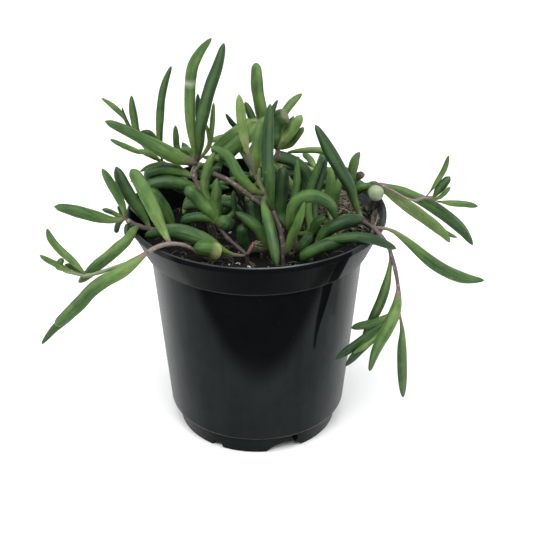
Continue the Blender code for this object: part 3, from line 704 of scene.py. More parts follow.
fibres = joined([
    fibre_tangle("fibres_all", 110, (2.5, 8.0), (0.08, 0.2)),
    fibre_tangle("fibres_mound", 330, (2.5, 8.0), (0.08, 0.30), near=(36, 7), spread=6.5),
    fibre_tangle("twigs_mound", 230, (2.5, 6.5), (0.12, 0.38), near=(36, 6), spread=6.5,
                 heap=7.0),
    fibre_tangle("fibres_front", 60, (2.5, 7.0), (0.08, 0.22), near=(-20, -37), spread=5.0),
], "soil_fibres")
dry_fibre, tree, shader, place = new_material("dry_fibre", roughness=0.85,
                                              Specular_IOR_Level=0.3)
by_fibre = grain(tree, place, 190.0, detail=2.0)
link(tree, mixed(tree, by_fibre.outputs["Value"], (0.046, 0.039, 0.028), (0.34, 0.300, 0.220)),
     shader.inputs["Base Color"])
bumped(tree, shader, 0.5, 0.0002, grain(tree, place, 2400.0).outputs["Height"])
fibres.data.materials.append(dry_fibre)

# Fine hairs on the pink runner at the front.
HAIR_COUNT = 14
RUNNER_PLACE = (-1.2, -26.0, 91.6)
x, y, z = RUNNER_PLACE
hairs = []
for index in range(HAIR_COUNT):
    start = Vector((x + rng.uniform(-0.6, 0.6), y, z + rng.uniform(-0.8, 0.6)))
    step = Vector((rng.uniform(0.2, 2.6), rng.uniform(-1.2, 0.4), rng.uniform(-0.8, 1.6)))
    drop = Vector((rng.uniform(0.4, 3.2), rng.uniform(-1.0, 0.6), rng.uniform(-3.0, 0.4)))
    hairs.append(dry_strand(f"hair_{index}", [start, start + step, start + step + drop],
                            0.16))

# Dry roots that cling to the inside of the wall above the mound.
WALL_ROOT_COUNT = 26
WALL_ROOT_TOP = 92.5
for index in range(WALL_ROOT_COUNT):
    angle = math.radians(rng.uniform(-14, 22))
    foot_height, length = rng.uniform(84.0, 87.0), rng.uniform(3.0, 8.0)
    climb = []
    for share in (0.0, 0.4, 0.75, 1.0):
        height = min(foot_height + length * share, WALL_ROOT_TOP)
        reach, turned = inner_radius(height) - 0.5, angle + rng.uniform(-0.035, 0.035)
        climb.append((reach * math.cos(turned), reach * math.sin(turned), height))
    hairs.append(dry_strand(f"wall_root_{index}", climb, 0.26, thinning=0.5))
root_hairs = joined(hairs, "root_hairs")
root_hairs.data.materials.append(dry_fibre)
for piece in (crumbs, white_grit, fibres, root_hairs):
    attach(piece, "root")

# Leafy stem in the middle.
# A thin purple-brown stem carries fleshy leaves like slim green bananas, dark at the tip and
# pale towards the stem, with a see-through stripe along the top. Each leaf grows from the stem.
# An outline is (share of the length, share of the half thickness) from the stem to the tip.
LEAF_OUTLINES = {
    "long": [(0.0, 0.28), (0.10, 0.44), (0.22, 0.72), (0.38, 0.94), (0.55, 1.0), (0.72, 0.98),
        (0.84, 0.86), (0.93, 0.60), (1.0, 0.26)],
    "blunt": [(0.0, 0.28), (0.12, 0.48), (0.26, 0.78), (0.42, 0.96), (0.60, 1.0), (0.80, 0.98),
        (0.93, 0.84), (1.0, 0.62)],
    "stalked": [(0.0, 0.32), (0.28, 0.36), (0.42, 0.66), (0.55, 0.92), (0.70, 1.0), (0.84, 0.84),
        (0.93, 0.60), (1.0, 0.34)],
    "cut": [(0.0, 0.42), (0.12, 0.70), (0.25, 0.90), (0.60, 1.0), (0.90, 0.99), (1.0, 0.94)],
    "torn": [(0.0, 0.12), (0.55, 0.16), (0.60, 0.78), (0.76, 1.0), (0.93, 0.88), (1.0, 0.6)],
    "slim_foot": [(0.0, 0.26), (0.14, 0.30), (0.24, 0.50), (0.38, 0.82), (0.52, 0.98), (0.70, 1.0),
        (0.84, 0.86), (0.93, 0.58), (1.0, 0.25)],
    "spear": [(0.0, 0.34), (0.12, 0.66), (0.26, 0.94), (0.40, 1.0), (0.60, 0.86), (0.80, 0.62),
        (0.92, 0.44), (1.0, 0.28)],
    "blade": [(0.0, 0.62), (0.15, 0.85), (0.35, 1.0), (0.65, 1.0), (0.82, 0.90), (0.93, 0.68),
        (1.0, 0.42)],
    "full": [(0.0, 0.34), (0.06, 0.48), (0.13, 0.72), (0.22, 0.92), (0.34, 1.0), (0.60, 1.0),
        (0.80, 0.95), (0.93, 0.80), (1.0, 0.60)],
    "tapered": [(0.0, 0.40), (0.08, 0.55), (0.18, 0.85), (0.30, 1.0), (0.45, 0.98), (0.60, 0.80),
        (0.75, 0.66), (0.88, 0.57), (0.95, 0.44), (1.0, 0.27)],
    "thin_stalk": [(0.0, 0.30), (0.45, 0.30), (0.55, 0.50), (0.66, 0.85), (0.78, 1.0),
        (0.90, 0.75), (1.0, 0.30)],
    "arched": [(0.0, 0.20), (0.12, 0.24), (0.22, 0.45), (0.35, 0.85), (0.48, 1.0), (0.62, 0.98),
        (0.78, 0.85), (0.90, 0.60), (1.0, 0.35)],
}
# The share of each outline's length that is its stalk.
PETIOLES = {"stalked": 0.30, "slim_foot": 0.19, "torn": 0.50, "blade": 0.01, "tapered": 0.12,
            "thin_stalk": 0.50, "arched": 0.14}
SHORT_PETIOLE = 0.08
LEAF_DEPTH = 0.92
GROOVE_DEPTH = 0.03
GROOVE_WIDTH = 0.34
MIN_HALF_WIDTH = 0.02
# A tip is rounded over a share of the leaf's thickness, but no more than a share of its length.
TIP_ROUNDING = 0.42
TIP_ROUNDING_MOST = 0.3
# A leaf whose heading points up by more than this share turns its top to the front.
UPRIGHT_FROM = 0.7
STEM_TOP = (0.3, 0.9, 0.2)
STEM_SWELL = 0.16
SWELL_REACH = 1.6
STEM_END_REACH = 1.5
# Healed, cut, dead and torn places, with the two colours that each is mottled in.
MARKS = {"pale": ((0.185, 0.240, 0.125), (0.31, 0.360, 0.245)),
         "callus": ((0.055, 0.075, 0.030), (0.165, 0.150, 0.085)),
         "dead": ((0.030, 0.020, 0.017), (0.16, 0.105, 0.075)),
         "torn": ((0.17, 0.20, 0.060), (0.50, 0.48, 0.22))}
# Where each green lies from the darkest leaf to the palest.
LEAF_GREENS = ((0.0, (0.005, 0.020, 0.008)), (0.28, (0.018, 0.052, 0.013)),
               (0.52, (0.055, 0.117, 0.024)), (0.78, (0.130, 0.200, 0.053)),
               (1.0, (0.270, 0.322, 0.140)))


def rounded_width(outline, along, tip_share):
    """Share of the half thickness along a leaf, eased between the knots, closed at the tip."""
    knots, widths = (np.array(row) for row in zip(*LEAF_OUTLINES[outline]))
    slopes = np.gradient(widths, knots)
    slopes[0] = (widths[1] - widths[0]) / (knots[1] - knots[0])
    span = np.minimum(np.searchsorted(knots, along, side="right") - 1, len(knots) - 2)
    step = knots[span + 1] - knots[span]
    part = (along - knots[span]) / step
    rise, leave = slopes[span] * step, slopes[span + 1] * step
    width = ((2 * part ** 3 - 3 * part ** 2 + 1) * widths[span]
             + (part ** 3 - 2 * part ** 2 + part) * rise
             + (3 * part ** 2 - 2 * part ** 3) * widths[span + 1]
             + (part ** 3 - part ** 2) * leave)
    if outline != "cut":
        left = np.clip((1 - along) / tip_share, 0.0, 1.0)
        width *= np.sqrt(np.clip(1 - (1 - left) ** 2, 0.0004, 1.0))
    return np.clip(width, MIN_HALF_WIDTH, 1.05)


def set_value(mesh, name, values):
    """A value for each vertex, which the materials read."""
    attribute = mesh.attributes.get(name) or mesh.attributes.new(name, "FLOAT", "POINT")
    values = np.broadcast_to(values, len(mesh.vertices)).astype(np.float32)
    attribute.data.foreach_set("value", values)


leaf_rod = unit_rod("leaf_rod", 20, 30, 1.7)
stem_rod = unit_rod("stem_rod", 12, 64, 1.0)
for rod in (leaf_rod, stem_rod):
    rod_points = vertex_array(rod.data)
    set_value(rod.data, "along", rod_points[:, 2])
    set_value(rod.data, "top", rod_points[:, 1])


def mark_strength(kind, along, marks):
    """How strongly one kind of mark shows along a leaf."""
    strength = np.zeros_like(along)
    for name, start, full, end in marks:
        if name == kind:
            here = np.interp(along, [start, full, end], [0.0, 1.0, 0.0])
            strength = np.maximum(strength, here)
    return strength


def stored(tree, name):
    """A value that the mesh holds for each vertex."""
    return add_node(tree, "ShaderNodeAttribute", attribute_name=name).outputs["Fac"]


def own_grain(tree, scale, *axes, **limits):
    """Grain that follows the leaf or stem, along the values given for its axes."""
    own = add_node(tree, "ShaderNodeCombineXYZ", dict(enumerate(axes)))
    return grain(tree, own.outputs["Vector"], scale, **limits)


def leaf_material():
    """Waxy green skin, from the leaf's own tone, with its stripe, scars, stalk, tip and marks."""
    leaf, tree, shader, place = new_material("leaf_skin", Subsurface_Weight=0.12,
                                             Subsurface_Scale=0.0015, Specular_IOR_Level=0.24)
    shader.inputs["Subsurface Radius"].default_value = (0.6, 1.0, 0.25)
    along, top, tone, stalk, kin = (stored(tree, name)
                                    for name in ("along", "top", "tone", "stalk", "kin"))
    lengthways = math_node(tree, "MULTIPLY_ADD", kin, 13.7, times(tree, along, 1.6))
    streaks = own_grain(tree, 3.2, lengthways, times(tree, top, 1.3), times(tree, kin, 5.1),
                        low=-0.13, high=0.13, detail=4.0)
    clouds = grain(tree, place, 160.0, -0.10, 0.10)
    base_light = smooth_step(tree, along, 0.0, 0.75, 0.24, -0.07)
    uneven = math_node(tree, "ADD", streaks.outputs["Value"], clouds.outputs["Value"])
    shade = math_node(tree, "ADD", math_node(tree, "ADD", tone, base_light), uneven, clamp=True)
    greens = add_node(tree, "ShaderNodeValToRGB", {"Fac": shade})
    ramp = greens.color_ramp
    while len(ramp.elements) < len(LEAF_GREENS):
        ramp.elements.new(0.5)
    for element, (spot, green) in zip(ramp.elements, LEAF_GREENS):
        element.position = spot
        element.color = (*green, 1.0)
    scars = grain(tree, place, 420.0, detail=2.0)
    stripe_share = times(tree, smooth_step(tree, top, 0.86, 0.99, 0.0, 0.13),
                         smooth_step(tree, along, 0.10, 0.30))
    edge_share = times(tree, smooth_step(tree, top, 0.62, 0.80),
                       smooth_step(tree, top, 0.92, 0.80, 0.0, 0.06))
    scar_share = smooth_step(tree, scars.outputs["Height"], 0.70, 0.76, 0.0, 0.45)
    stalk_share = smooth_step(tree, along, times(tree, stalk, 0.35), times(tree, stalk, 1.5),
                              0.85, 0.0)
    tip_share = smooth_step(tree, along, 0.982, 0.998, 0.0, 0.7)
    colour = greens.outputs["Color"]
    for share, tint in ((stripe_share, (0.20, 0.29, 0.13)), (edge_share, (0.020, 0.070, 0.022)),
                        (scar_share, (0.20, 0.24, 0.12)), (stalk_share, (0.165, 0.105, 0.100)),
                        (tip_share, (0.085, 0.050, 0.045))):
        colour = mixed(tree, share, colour, tint)
    mottle = grain(tree, place, 330.0, detail=5.0).outputs["Value"]
    for mark, (dark, light) in MARKS.items():
        colour = mixed(tree, stored(tree, mark), colour, mixed(tree, mottle, dark, light))
    link(tree, colour, shader.inputs["Base Color"])
    link(tree, math_node(tree, "ADD", streaks.outputs["Value"], 0.50), shader.inputs["Roughness"])
    pores = grain(tree, place, 2600.0, detail=2.0)
    bumped(tree, shader, 0.22, 0.0002, pores.outputs["Height"], streaks.outputs["Height"])
    return leaf


def stem_material(name, low, high, pale):
    """Skin of a stem, streaked along it between two colours, with pale spots."""
    stem, tree, shader, place = new_material(name, roughness=0.6, Specular_IOR_Level=0.4)
    streaks = own_grain(tree, 5.0, stored(tree, "along"), stored(tree, "top"), detail=5.0)
    spots = grain(tree, place, 500.0, detail=4.0)
    colour = mixed(tree, streaks.outputs["Value"], low, high)
    pale_spots = smooth_step(tree, spots.outputs["Height"], 0.56, 0.68, 0.0, 0.7)
    link(tree, mixed(tree, pale_spots, colour, pale), shader.inputs["Base Color"])
    bumped(tree, shader, 0.7, 0.0003, streaks.outputs["Height"], spots.outputs["Height"])
    return stem


LEAF_SKIN = leaf_material()
# The dark skin is the usual stem skin darkened as painted shade, for the front stem in shade.
STEM_SKIN, DRY_SKIN, SHADED_SKIN, OLD_BARK, PALE_SKIN, PINK_SKIN = (
    stem_material(name, low, high, pale) for name, low, high, pale in (
        ("stem_skin", (0.052, 0.034, 0.035), (0.145, 0.106, 0.100), (0.31, 0.27, 0.24)),
        ("dry_skin", (0.095, 0.072, 0.065), (0.250, 0.200, 0.180), (0.40, 0.35, 0.32)),
        ("painted_shade_skin", (0.024, 0.019, 0.018), (0.070, 0.054, 0.050), (0.14, 0.12, 0.10)),
        ("old_bark", (0.030, 0.021, 0.017), (0.120, 0.086, 0.068), (0.34, 0.26, 0.21)),
        ("pale_skin", (0.120, 0.175, 0.065), (0.205, 0.250, 0.120), (0.30, 0.24, 0.20)),
        ("pink_skin", (0.125, 0.045, 0.065), (0.235, 0.100, 0.120), (0.36, 0.26, 0.25))))


def path_length(path):
    """The length of a path in millimetres."""
    return sum((second - first).length for first, second in zip(path, path[1:]))


def dressed_leaf(name, route, leaf, rng):
    """One leaf from its place on the stem's route to its tip."""
    place, thickness, outline, points, tone, *marks = leaf
    path = smooth_path([route[place], *points])
    heading = (path[-1] - path[0]).normalized()
    upright = max(0.0, abs(heading.z) - UPRIGHT_FROM) / (1.0 - UPRIGHT_FROM)
    top = Vector((0, -upright, 1.0 - 0.9 * upright))
    kin = rng.random()
    wave = rng.uniform(0.02, 0.045)
    depth = LEAF_DEPTH if outline != "cut" else 1.0
    tip_share = min(TIP_ROUNDING_MOST, TIP_ROUNDING * thickness / path_length(path))

    def width_at(rod):
        along = rod[:, 2]
        angle = np.arctan2(rod[:, 0], rod[:, 1])
        width = rounded_width(outline, along, tip_share) * thickness / 2
        waves = np.sin(along * 9 + kin * 20) + 0.6 * np.sin(along * 23 + kin * 50)
        fade = np.sin(np.pi * np.clip(along, 0, 1)) ** 0.5
        groove = 1 - GROOVE_DEPTH * np.exp(-(angle / GROOVE_WIDTH) ** 2) * fade
        return np.maximum(width * (1 + wave * waves) * groove, MIN_HALF_WIDTH)

    piece = laid_along(leaf_rod, name, path, width_at, top, depth, rng.uniform(-0.4, 0.4))
    is_leaf = isinstance(tone, float)
    values = {"tone": tone if is_leaf else 0.0, "kin": kin,
              "stalk": PETIOLES.get(outline, SHORT_PETIOLE)}
    along = vertex_array(leaf_rod.data)[:, 2]
    values.update((kind, mark_strength(kind, along, marks)) for kind in MARKS)
    for key, value in values.items():
        set_value(piece.data, key, value)
    piece.data.materials.append(LEAF_SKIN if is_leaf else tone)
    return piece


def dressed_stem(name, radius, route, leaves, skin, rng):
    """A stem along its route, a little swollen where leaves grow from it."""
    path = smooth_path(route)
    shares = line_frames(path, STEM_TOP)[0]
    joints = sorted({leaf[0] for leaf in leaves})
    length = path_length(path)
    start = rng.uniform(0, 6)

    def width_at(rod):
        along = rod[:, 2]
        width = radius * (0.94 + 0.07 * np.sin(along * 31 + start) + 0.03 * np.sin(along * 83))
        for joint in joints:
            off_joint = (along - shares[joint * SAMPLES_PER_SPAN]) * length
            width += radius * STEM_SWELL * np.exp(-(off_joint / SWELL_REACH) ** 2)
        return width * np.sqrt(np.clip((1 - along) * length / STEM_END_REACH, 0.05, 1.0))

    piece = laid_along(stem_rod, name, path, width_at, STEM_TOP)
    piece.data.materials.append(skin)
    return piece


def dress_shoot(node, seed, stems):
    """All of one leafy stem as one piece that stands for its CAD node."""
    rng = random.Random(seed)
    pieces = []
    for number, (radius, route, leaves, *skin) in enumerate(stems):
        pieces.append(dressed_stem(f"{node}_stem_{number}", radius, route, leaves,
                                   *(skin or [STEM_SKIN]), rng))
        for index, leaf in enumerate(leaves):
            pieces.append(dressed_leaf(f"{node}_leaf_{number}_{index}", route, leaf, rng))
    shoot = joined(pieces, f"{node}_leaves")
    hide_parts(node)
    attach(shoot, "root")


# A stem is (radius, route, leaves), with its skin after that where it isn't the usual one. A
# leaf is (place along the route, thickness, outline, points from there to the tip, tone from
# dark 0 to pale 1 or a stem's skin), with its marks after that, each with the shares of the
# length where it starts, is full and ends. The stem's foot stands in the soil.
STEM_FOOT = 75.0
dress_shoot("shoot_middle", 1, [
    (1.0, [(10, -24, STEM_FOOT), (10, -23, 84), (9, -20, 94), (6, -18, 101), (3, -15, 107),
           (0, -11, 113), (-3, -8, 119), (0, -1, 123), (1.4, 0, 129.5)], [
        (3, 4.6, "long", [(5, -21, 112), (4, -23, 128), (5, -20, 144.6)], 0.26),
        (4, 4.4, "long", [(2.8, -19, 104.2), (4.5, -25, 99.4), (6.1, -31, 94.4),
            (7.4, -36.5, 87.5)], 0.36),
        (4, 3.9, "long", [(-1, -20, 111), (-6, -23, 118), (-11, -23, 126.5), (-16.7, -22, 129.2)],
            0.52),
        (4, 1.3, "blunt", [(1, -16, 112), (1, -16, 118)], 0.85),
        (3, 2.0, "cut", [(2.4, -16.5, 103.2), (-0.2, -14, 104.1), (-3.3, -12, 105.5),
            (-6.3, -10, 107.1), (-10.1, -8, 109.1), (-16.6, -6, 111.6)], OLD_BARK),
        (5, 4.5, "long", [(0, -14, 122), (1, -15, 132), (3, -15, 138)], 0.62),
        (6, 3.7, "long", [(-5, -9, 130), (-6.3, -8, 144)], 0.82),
        (7, 4.9, "full", [(2.6, 6, 126), (1.5, 7, 134.3), (0.5, 8, 139.9), (0, 10, 150)], 0.52),
        (7, 3.0, "long", [(-0.3, 2, 126.6), (-1.6, 2, 130.9), (-4.2, 2, 137.5)], 0.25),
        (7, 2.1, "long", [(4, -2, 131), (8, -3, 140)], 0.30),
        (8, 5.0, "full", [(-1.4, 1.6, 129.8), (-5.4, 0, 127.3), (-10.4, 0, 124), (-17, 1, 117.1)],
            0.50),
        (8, 6.4, "full", [(-2.6, -1, 126), (-7.8, -2.5, 121.8), (-14.2, -3, 115.6)], 0.42),
        (7, 2.4, "long", [(-5.5, 8, 123.3), (-9, 8.5, 126), (-11.8, 9, 130.1)], 0.20),
    ]),
])

# Tallest leafy stem, with its side branch.
# It stands left of the middle, holds up the two longest leaves, and sends a thin branch
# back and to the left with small leaves on purple stalks.
dress_shoot("shoot_tall", 2, [
    (0.9, [(-17, -5, STEM_FOOT), (-18, -5, 86), (-20, -5, 96), (-22, -3, 103), (-24, -1, 108),
           (-23, 1, 113)], [
        (5, 4.3, "long", [(-24.3, -1, 124.5), (-24.8, -2, 131.7), (-24.7, -2, 139.6),
            (-24.2, -2, 147.4), (-23, -2, 153.1), (-20.1, -2, 158.4), (-16.1, -2, 163.2)], 0.55,
            ("pale", 0.60, 0.64, 0.65)),
        (5, 4.7, "long", [(-21.3, -2, 121.6), (-21.1, -3, 128.1), (-19.4, -4, 136.4),
            (-17, -5, 145.3), (-13.8, -6, 154.4), (-11.5, -6, 162.6)], 0.27),
        (5, 6.3, "tapered", [(-28.6, -1, 115.4), (-33, -2, 118.1), (-40.1, -4, 123.2),
            (-47.3, -5.5, 128.2), (-51.5, -6.5, 130.9), (-56.1, -7, 133.3)], 0.47),
        (5, 2.6, "long", [(-28.5, 4, 113.8), (-30.8, 6, 117.6), (-31, 6, 121.7),
            (-31.1, 6, 126.6)], 0.50),
        (5, 2.6, "long", [(-24.6, 4, 115), (-26.9, 5, 116.9), (-29.8, 6, 116.3)], 0.60),
        (5, 2.5, "long", [(-22, 4, 124), (-22, 4, 140)], 0.15),
        (5, 2.1, "stalked", [(-18, 2, 119), (-17, 2, 126), (-16, 2, 137)], 0.66),
        (5, 1.9, "long", [(-18, 3, 120), (-19, 3, 128)], 0.80),
        (4, 2.4, "long", [(-31.7, 4, 110), (-37.4, 3, 111.5), (-41.2, 2, 111.1), (-45, 0, 109.9)],
            0.52),
        (4, 5.0, "blunt", [(-30.3, 0, 110.1), (-35.3, 0, 110.7), (-39.8, -1, 110.3),
            (-43.3, -2, 108.9)], 0.40),
        (3, 5.3, "blunt", [(-25, -2, 104.6), (-29.5, -3, 106.1), (-35.2, -4, 107.2),
            (-39.7, -5.5, 106.9), (-42.4, -6, 105.6)], 0.30),
    ]),
    (0.7, [(-24, -1, 108), (-29, 8, 107), (-37, 9, 110), (-42, 10, 113), (-45, 11, 114)], [
        (2, 3.1, "long", [(-37.5, 8, 121), (-36.9, 8, 130), (-35.8, 8, 138), (-34.1, 8, 144),
            (-31.8, 8, 149.5)], 0.38),
        (2, 2.6, "long", [(-41.5, 7, 114.1), (-46, 7, 116)], 0.60),
        (3, 2.3, "thin_stalk", [(-45.9, 11.5, 118.8), (-49.6, 12, 124), (-51.5, 12, 127.9),
            (-55.6, 12, 132.4), (-59.5, 12, 135.5)], 0.60),
        (3, 1.5, "stalked", [(-49.6, 12, 124), (-51.1, 12, 128.1), (-51.8, 12, 131.6)], 0.30),
        (3, 3.0, "long", [(-46.5, 10, 122.3), (-47.1, 10, 127.2), (-47.6, 10, 132.1),
            (-47.7, 10, 137.2)], 0.48),
        (3, 2.4, "long", [(-46.2, 8, 114.9), (-50, 8, 116.6), (-53.4, 8, 118.3),
            (-56.8, 8, 120.1)], 0.55),
        (3, 2.7, "long", [(-40, 12, 118), (-42, 12, 121), (-46, 12, 121)], 0.36),
    ]),
])

# Leafy stem over the left of the rim.
# It leans on the air just over the lip and ends in a fan of leaves.
dress_shoot("shoot_left_rim", 3, [
    (1.05, [(-26, -9, STEM_FOOT), (-27, -9.5, 84), (-31.6, -10, 89.6), (-36.4, -12.5, 90.7),
            (-40.8, -14.5, 92.2), (-44.8, -16, 94.1), (-47.7, -16, 95.7), (-49.8, -15, 97)], [
        (2, 5.6, "blunt", [(-33.2, -9, 92.6), (-35.8, -9, 98.1), (-38.2, -10, 103.1),
            (-41.2, -10, 107)], 0.45),
        (4, 5.0, "long", [(-42.6, -12.6, 95.6), (-45.5, -12, 100.4), (-48.6, -12, 106.3),
            (-50.9, -12, 111.7), (-52.5, -12, 117.2)], 0.27),
        (5, 4.7, "long", [(-46.2, -22.5, 95.7), (-48.3, -26.5, 93.7), (-51.6, -28, 91.2),
            (-55.5, -29, 87.9), (-60.1, -30, 84.5), (-63.7, -30, 80.7), (-67.3, -29, 77.1)], 0.45),
        (7, 3.5, "long", [(-50.3, -16, 102.3), (-52.5, -17, 108.8), (-54.5, -18, 113.9),
            (-56.9, -18, 119)], 0.47),
        (7, 5.0, "long", [(-54.4, -16, 96.9), (-59.9, -17, 98.7), (-66.3, -18, 101.2),
            (-71.8, -18, 102.8), (-76.1, -17, 103.1)], 0.46),
        (7, 2.1, "long", [(-52.7, -14, 97.9), (-55.7, -13.5, 99.3), (-58.9, -13, 100.1)], 0.45),
        (7, 2.4, "blunt", [(-52.7, -13, 94.2), (-53.7, -12, 91.6), (-54.2, -12, 89.4)], 0.15),
        (6, 2.0, "blunt", [(-48.9, -19, 95.8), (-48.9, -21, 94.5), (-48.7, -22.2, 92.4)], 0.10),
        (7, 2.0, "long", [(-51.5, -12, 98), (-52.2, -11, 99.2), (-53.1, -11, 100.4)], 0.22),
    ]),
])

# Leafy stem over the front left of the rim.
# It bends down over the lip into the longest hanging leaf, and a thin sprig goes on from it.
dress_shoot("shoot_left_long", 4, [
    (0.9, [(-16, -25, STEM_FOOT), (-18, -26, 85), (-21.2, -29, 88.6), (-23.7, -30, 91.4),
           (-27.5, -32, 94.3), (-31.7, -34, 95.8), (-35.9, -37, 96.3), (-39.8, -39, 94.9)], [
        (5, 5.3, "blunt", [(-34.3, -31, 100), (-37, -30, 106.4), (-39.5, -28, 111.5),
            (-42.3, -26, 116.6), (-45.4, -24, 121.3)], 0.54),
        (7, 5.2, "full", [(-42.3, -40, 93.2), (-45.9, -41.5, 90.9), (-50.3, -42.5, 88),
            (-55.1, -43, 85.6), (-60, -43.5, 82), (-64.7, -44, 76.8), (-69.4, -44.5, 72.3),
            (-74.3, -45, 68)], 0.44),
        (7, 4.0, "long", [(-47, -37.6, 88.8), (-52, -38, 86), (-57.5, -38.5, 81.7),
            (-63.6, -38.5, 75.8), (-69.5, -40, 69.4), (-75.4, -41, 64.4), (-81, -41, 57.4)], 0.40),
    ], DRY_SKIN),
    (0.75, [(-39.8, -39, 94.9), (-46.4, -37, 90), (-53.3, -36, 87), (-58.7, -35, 84.4),
            (-63.4, -34, 82.8), (-67.7, -34, 83.9), (-72.1, -34, 85)], [
        (4, 3.1, "long", [(-65.4, -34, 85.8), (-68.7, -34, 89.8), (-72.1, -34, 93.5),
            (-75, -34, 98), (-76.1, -34, 102.3)], 0.54),
        (4, 2.3, "long", [(-68, -32, 85), (-71.5, -31, 86)], 0.45),
        (5, 2.5, "long", [(-72, -34, 86.5), (-77, -35, 90), (-79.6, -35, 92)], 0.52),
        (6, 2.4, "blunt", [(-73.5, -34, 86.5), (-71.5, -33, 89.5)], 0.62),
    ], PALE_SKIN),
])

# Short leafy stems at the front.
# One has a leaf that arches to the left along the rim and a stubby broken one, and a pink
# runner with root hairs; its stem has painted shade. The other stands low in the shade.
dress_shoot("shoot_front", 5, [
    (0.9, [(-4, -24, STEM_FOOT), (-4, -24, 85.5), (-7, -22, 88), (-11, -20, 91), (-15, -16, 95)], [
        (1, 6.2, "arched", [(-9.4, -25.5, 87), (-13, -26.5, 89.4), (-16.3, -27.5, 92),
            (-19.6, -28, 94.3), (-23.2, -28, 96), (-27.3, -27, 97), (-31.5, -26, 97.1),
            (-36, -25, 96.4), (-39.6, -23.5, 94.7), (-42, -22, 92.4)], 0.36),
        (1, 6.8, "torn", [(-9.3, -29, 88.1), (-14.3, -32, 90.9), (-17.9, -33.5, 93.4),
            (-20.8, -34, 94.1), (-23.2, -34, 94.3)], 0.45, ("torn", 0.54, 0.60, 0.78)),
        (1, 1.5, "cut", [(-3, -26, 88), (-1, -26, 92)], PINK_SKIN),
        (4, 5.4, "blunt", [(-18.4, -15, 100.9), (-21.4, -14, 103.8), (-23.9, -14, 106.7),
            (-26.7, -14, 109.6)], 0.42),
        (4, 4.1, "long", [(-15.7, -14.5, 102.3), (-15, -15, 107.9), (-14.9, -15, 113.6)], 0.48),
        (4, 3.1, "long", [(-20.2, -10, 98.5), (-24.1, -8, 98.9), (-28.7, -8, 97.9)], 0.42),
        (4, 4.6, "long", [(-18.9, -15.5, 97.4), (-23, -16, 97.8), (-26, -16, 97.2),
            (-29, -15, 95.3)], 0.32),
        (4, 6.6, "blade", [(-12.6, -16, 95.6), (-8.8, -15.6, 92.8)], 0.24),
        (4, 3.1, "long", [(-13.4, -10.8, 101), (-9.4, -11, 100.6), (-5.4, -12, 98.2)], 0.25),
        (4, 2.5, "long", [(-8.6, -14, 99.1), (-8.7, -14, 103.3), (-8.7, -14, 108.1)], 0.20),
        (4, 3.5, "long", [(-19.4, -12, 105.3), (-19.4, -12, 111.5), (-18.1, -12, 117.2),
            (-15.6, -12, 122.9)], 0.58),
    ], SHADED_SKIN),
])
dress_shoot("shoot_low", 6, [
    (0.9, [(2, -17, STEM_FOOT), (2, -17, 84), (1, -16, 90)], [
        (1, 4.7, "long", [(3.9, -21, 87), (2.3, -22, 92.5), (0.1, -22, 96.5), (-3.6, -21, 99.3),
            (-7.9, -20, 102)], 0.40),
        (1, 5.1, "blunt", [(-3.6, -18.5, 86.5), (-5.2, -19.5, 91), (-5.2, -20, 97)], 0.27),
        (2, 4.8, "long", [(-1, -13, 96.9), (-1.8, -12.5, 101.3), (-1.9, -12, 104.4)], 0.12),
    ]),
])

# Short leafy stems right of the middle.
# The inner one has the leaf that arches over like a hook and a thick cut one behind; the
# front one has three leaves that lean out towards the rim.
dress_shoot("shoot_right_inner", 7, [
    (1.0, [(15, -19, STEM_FOOT), (15, -19, 84), (15, -17, 91), (18, -13, 98), (21, -8, 99)], [
        (1, 3.6, "slim_foot", [(11.3, -27, 88.2), (13, -29, 95.9), (15.5, -30, 103.4),
            (17.4, -30, 110.6)], 0.60),
        (1, 4.5, "long", [(17, -24, 89.5), (21, -22, 94.5)], 0.32),
        (2, 4.9, "long", [(12.6, -22.5, 96), (13, -24.5, 101.5), (13.4, -25.5, 106.1),
            (15.9, -26, 110), (19.9, -26, 111.2), (24.4, -25, 109.3), (27.7, -23, 105.5),
            (29.7, -21, 99)], 0.45),
        (2, 2.8, "long", [(13, -18, 98), (15, -16, 112), (15, -15, 121)], 0.45),
        (2, 5.7, "blunt", [(8.5, -12, 96.8), (8.9, -11, 103.5), (9.4, -11.5, 110.4),
            (10.1, -12, 116.5)], 0.18),
        (1, 3.2, "long", [(20.3, -16, 92.3), (19.6, -13, 98.5), (20.1, -11, 106),
            (22.1, -10, 112.5), (24.8, -9, 119.8)], 0.48),
        (1, 4.2, "long", [(21.6, -12, 93.8), (21.8, -9, 99.6), (22.7, -8, 105.4),
            (24.5, -7, 111.6), (26.7, -6, 117.8)], 0.28),
        (4, 4.8, "cut", [(19.4, -6, 102), (19.9, -5, 107.4), (18.1, -5, 112.4), (13.5, -6, 116.6),
            (7.6, -8, 119.5)], 0.26),
        (2, 3.8, "blunt", [(20.9, -20, 93.4), (22.6, -21.5, 98.4), (25.7, -22, 101.1)], 0.50),
    ]),
])
dress_shoot("shoot_right_front", 8, [
    (1.0, [(20, -27, STEM_FOOT), (20, -27, 84), (22, -24, 90)], [
        (1, 4.8, "long", [(17.5, -31, 89), (22.6, -31, 92.1), (28.2, -30, 93.5),
            (34.6, -28, 93.9)], 0.30),
        (2, 5.7, "long", [(25.6, -22.5, 95.1), (29.7, -22, 97.4), (35, -20.5, 98.5),
            (40.6, -19, 98.6)], 0.22),
        (2, 4.2, "long", [(24.2, -29, 93.4), (28.2, -29.5, 94.9), (32.9, -30.5, 96.2),
            (38, -31, 96.8), (42.8, -31.5, 96), (47, -31, 94.1), (51.8, -30, 91.3)], 0.24),
    ]),
])

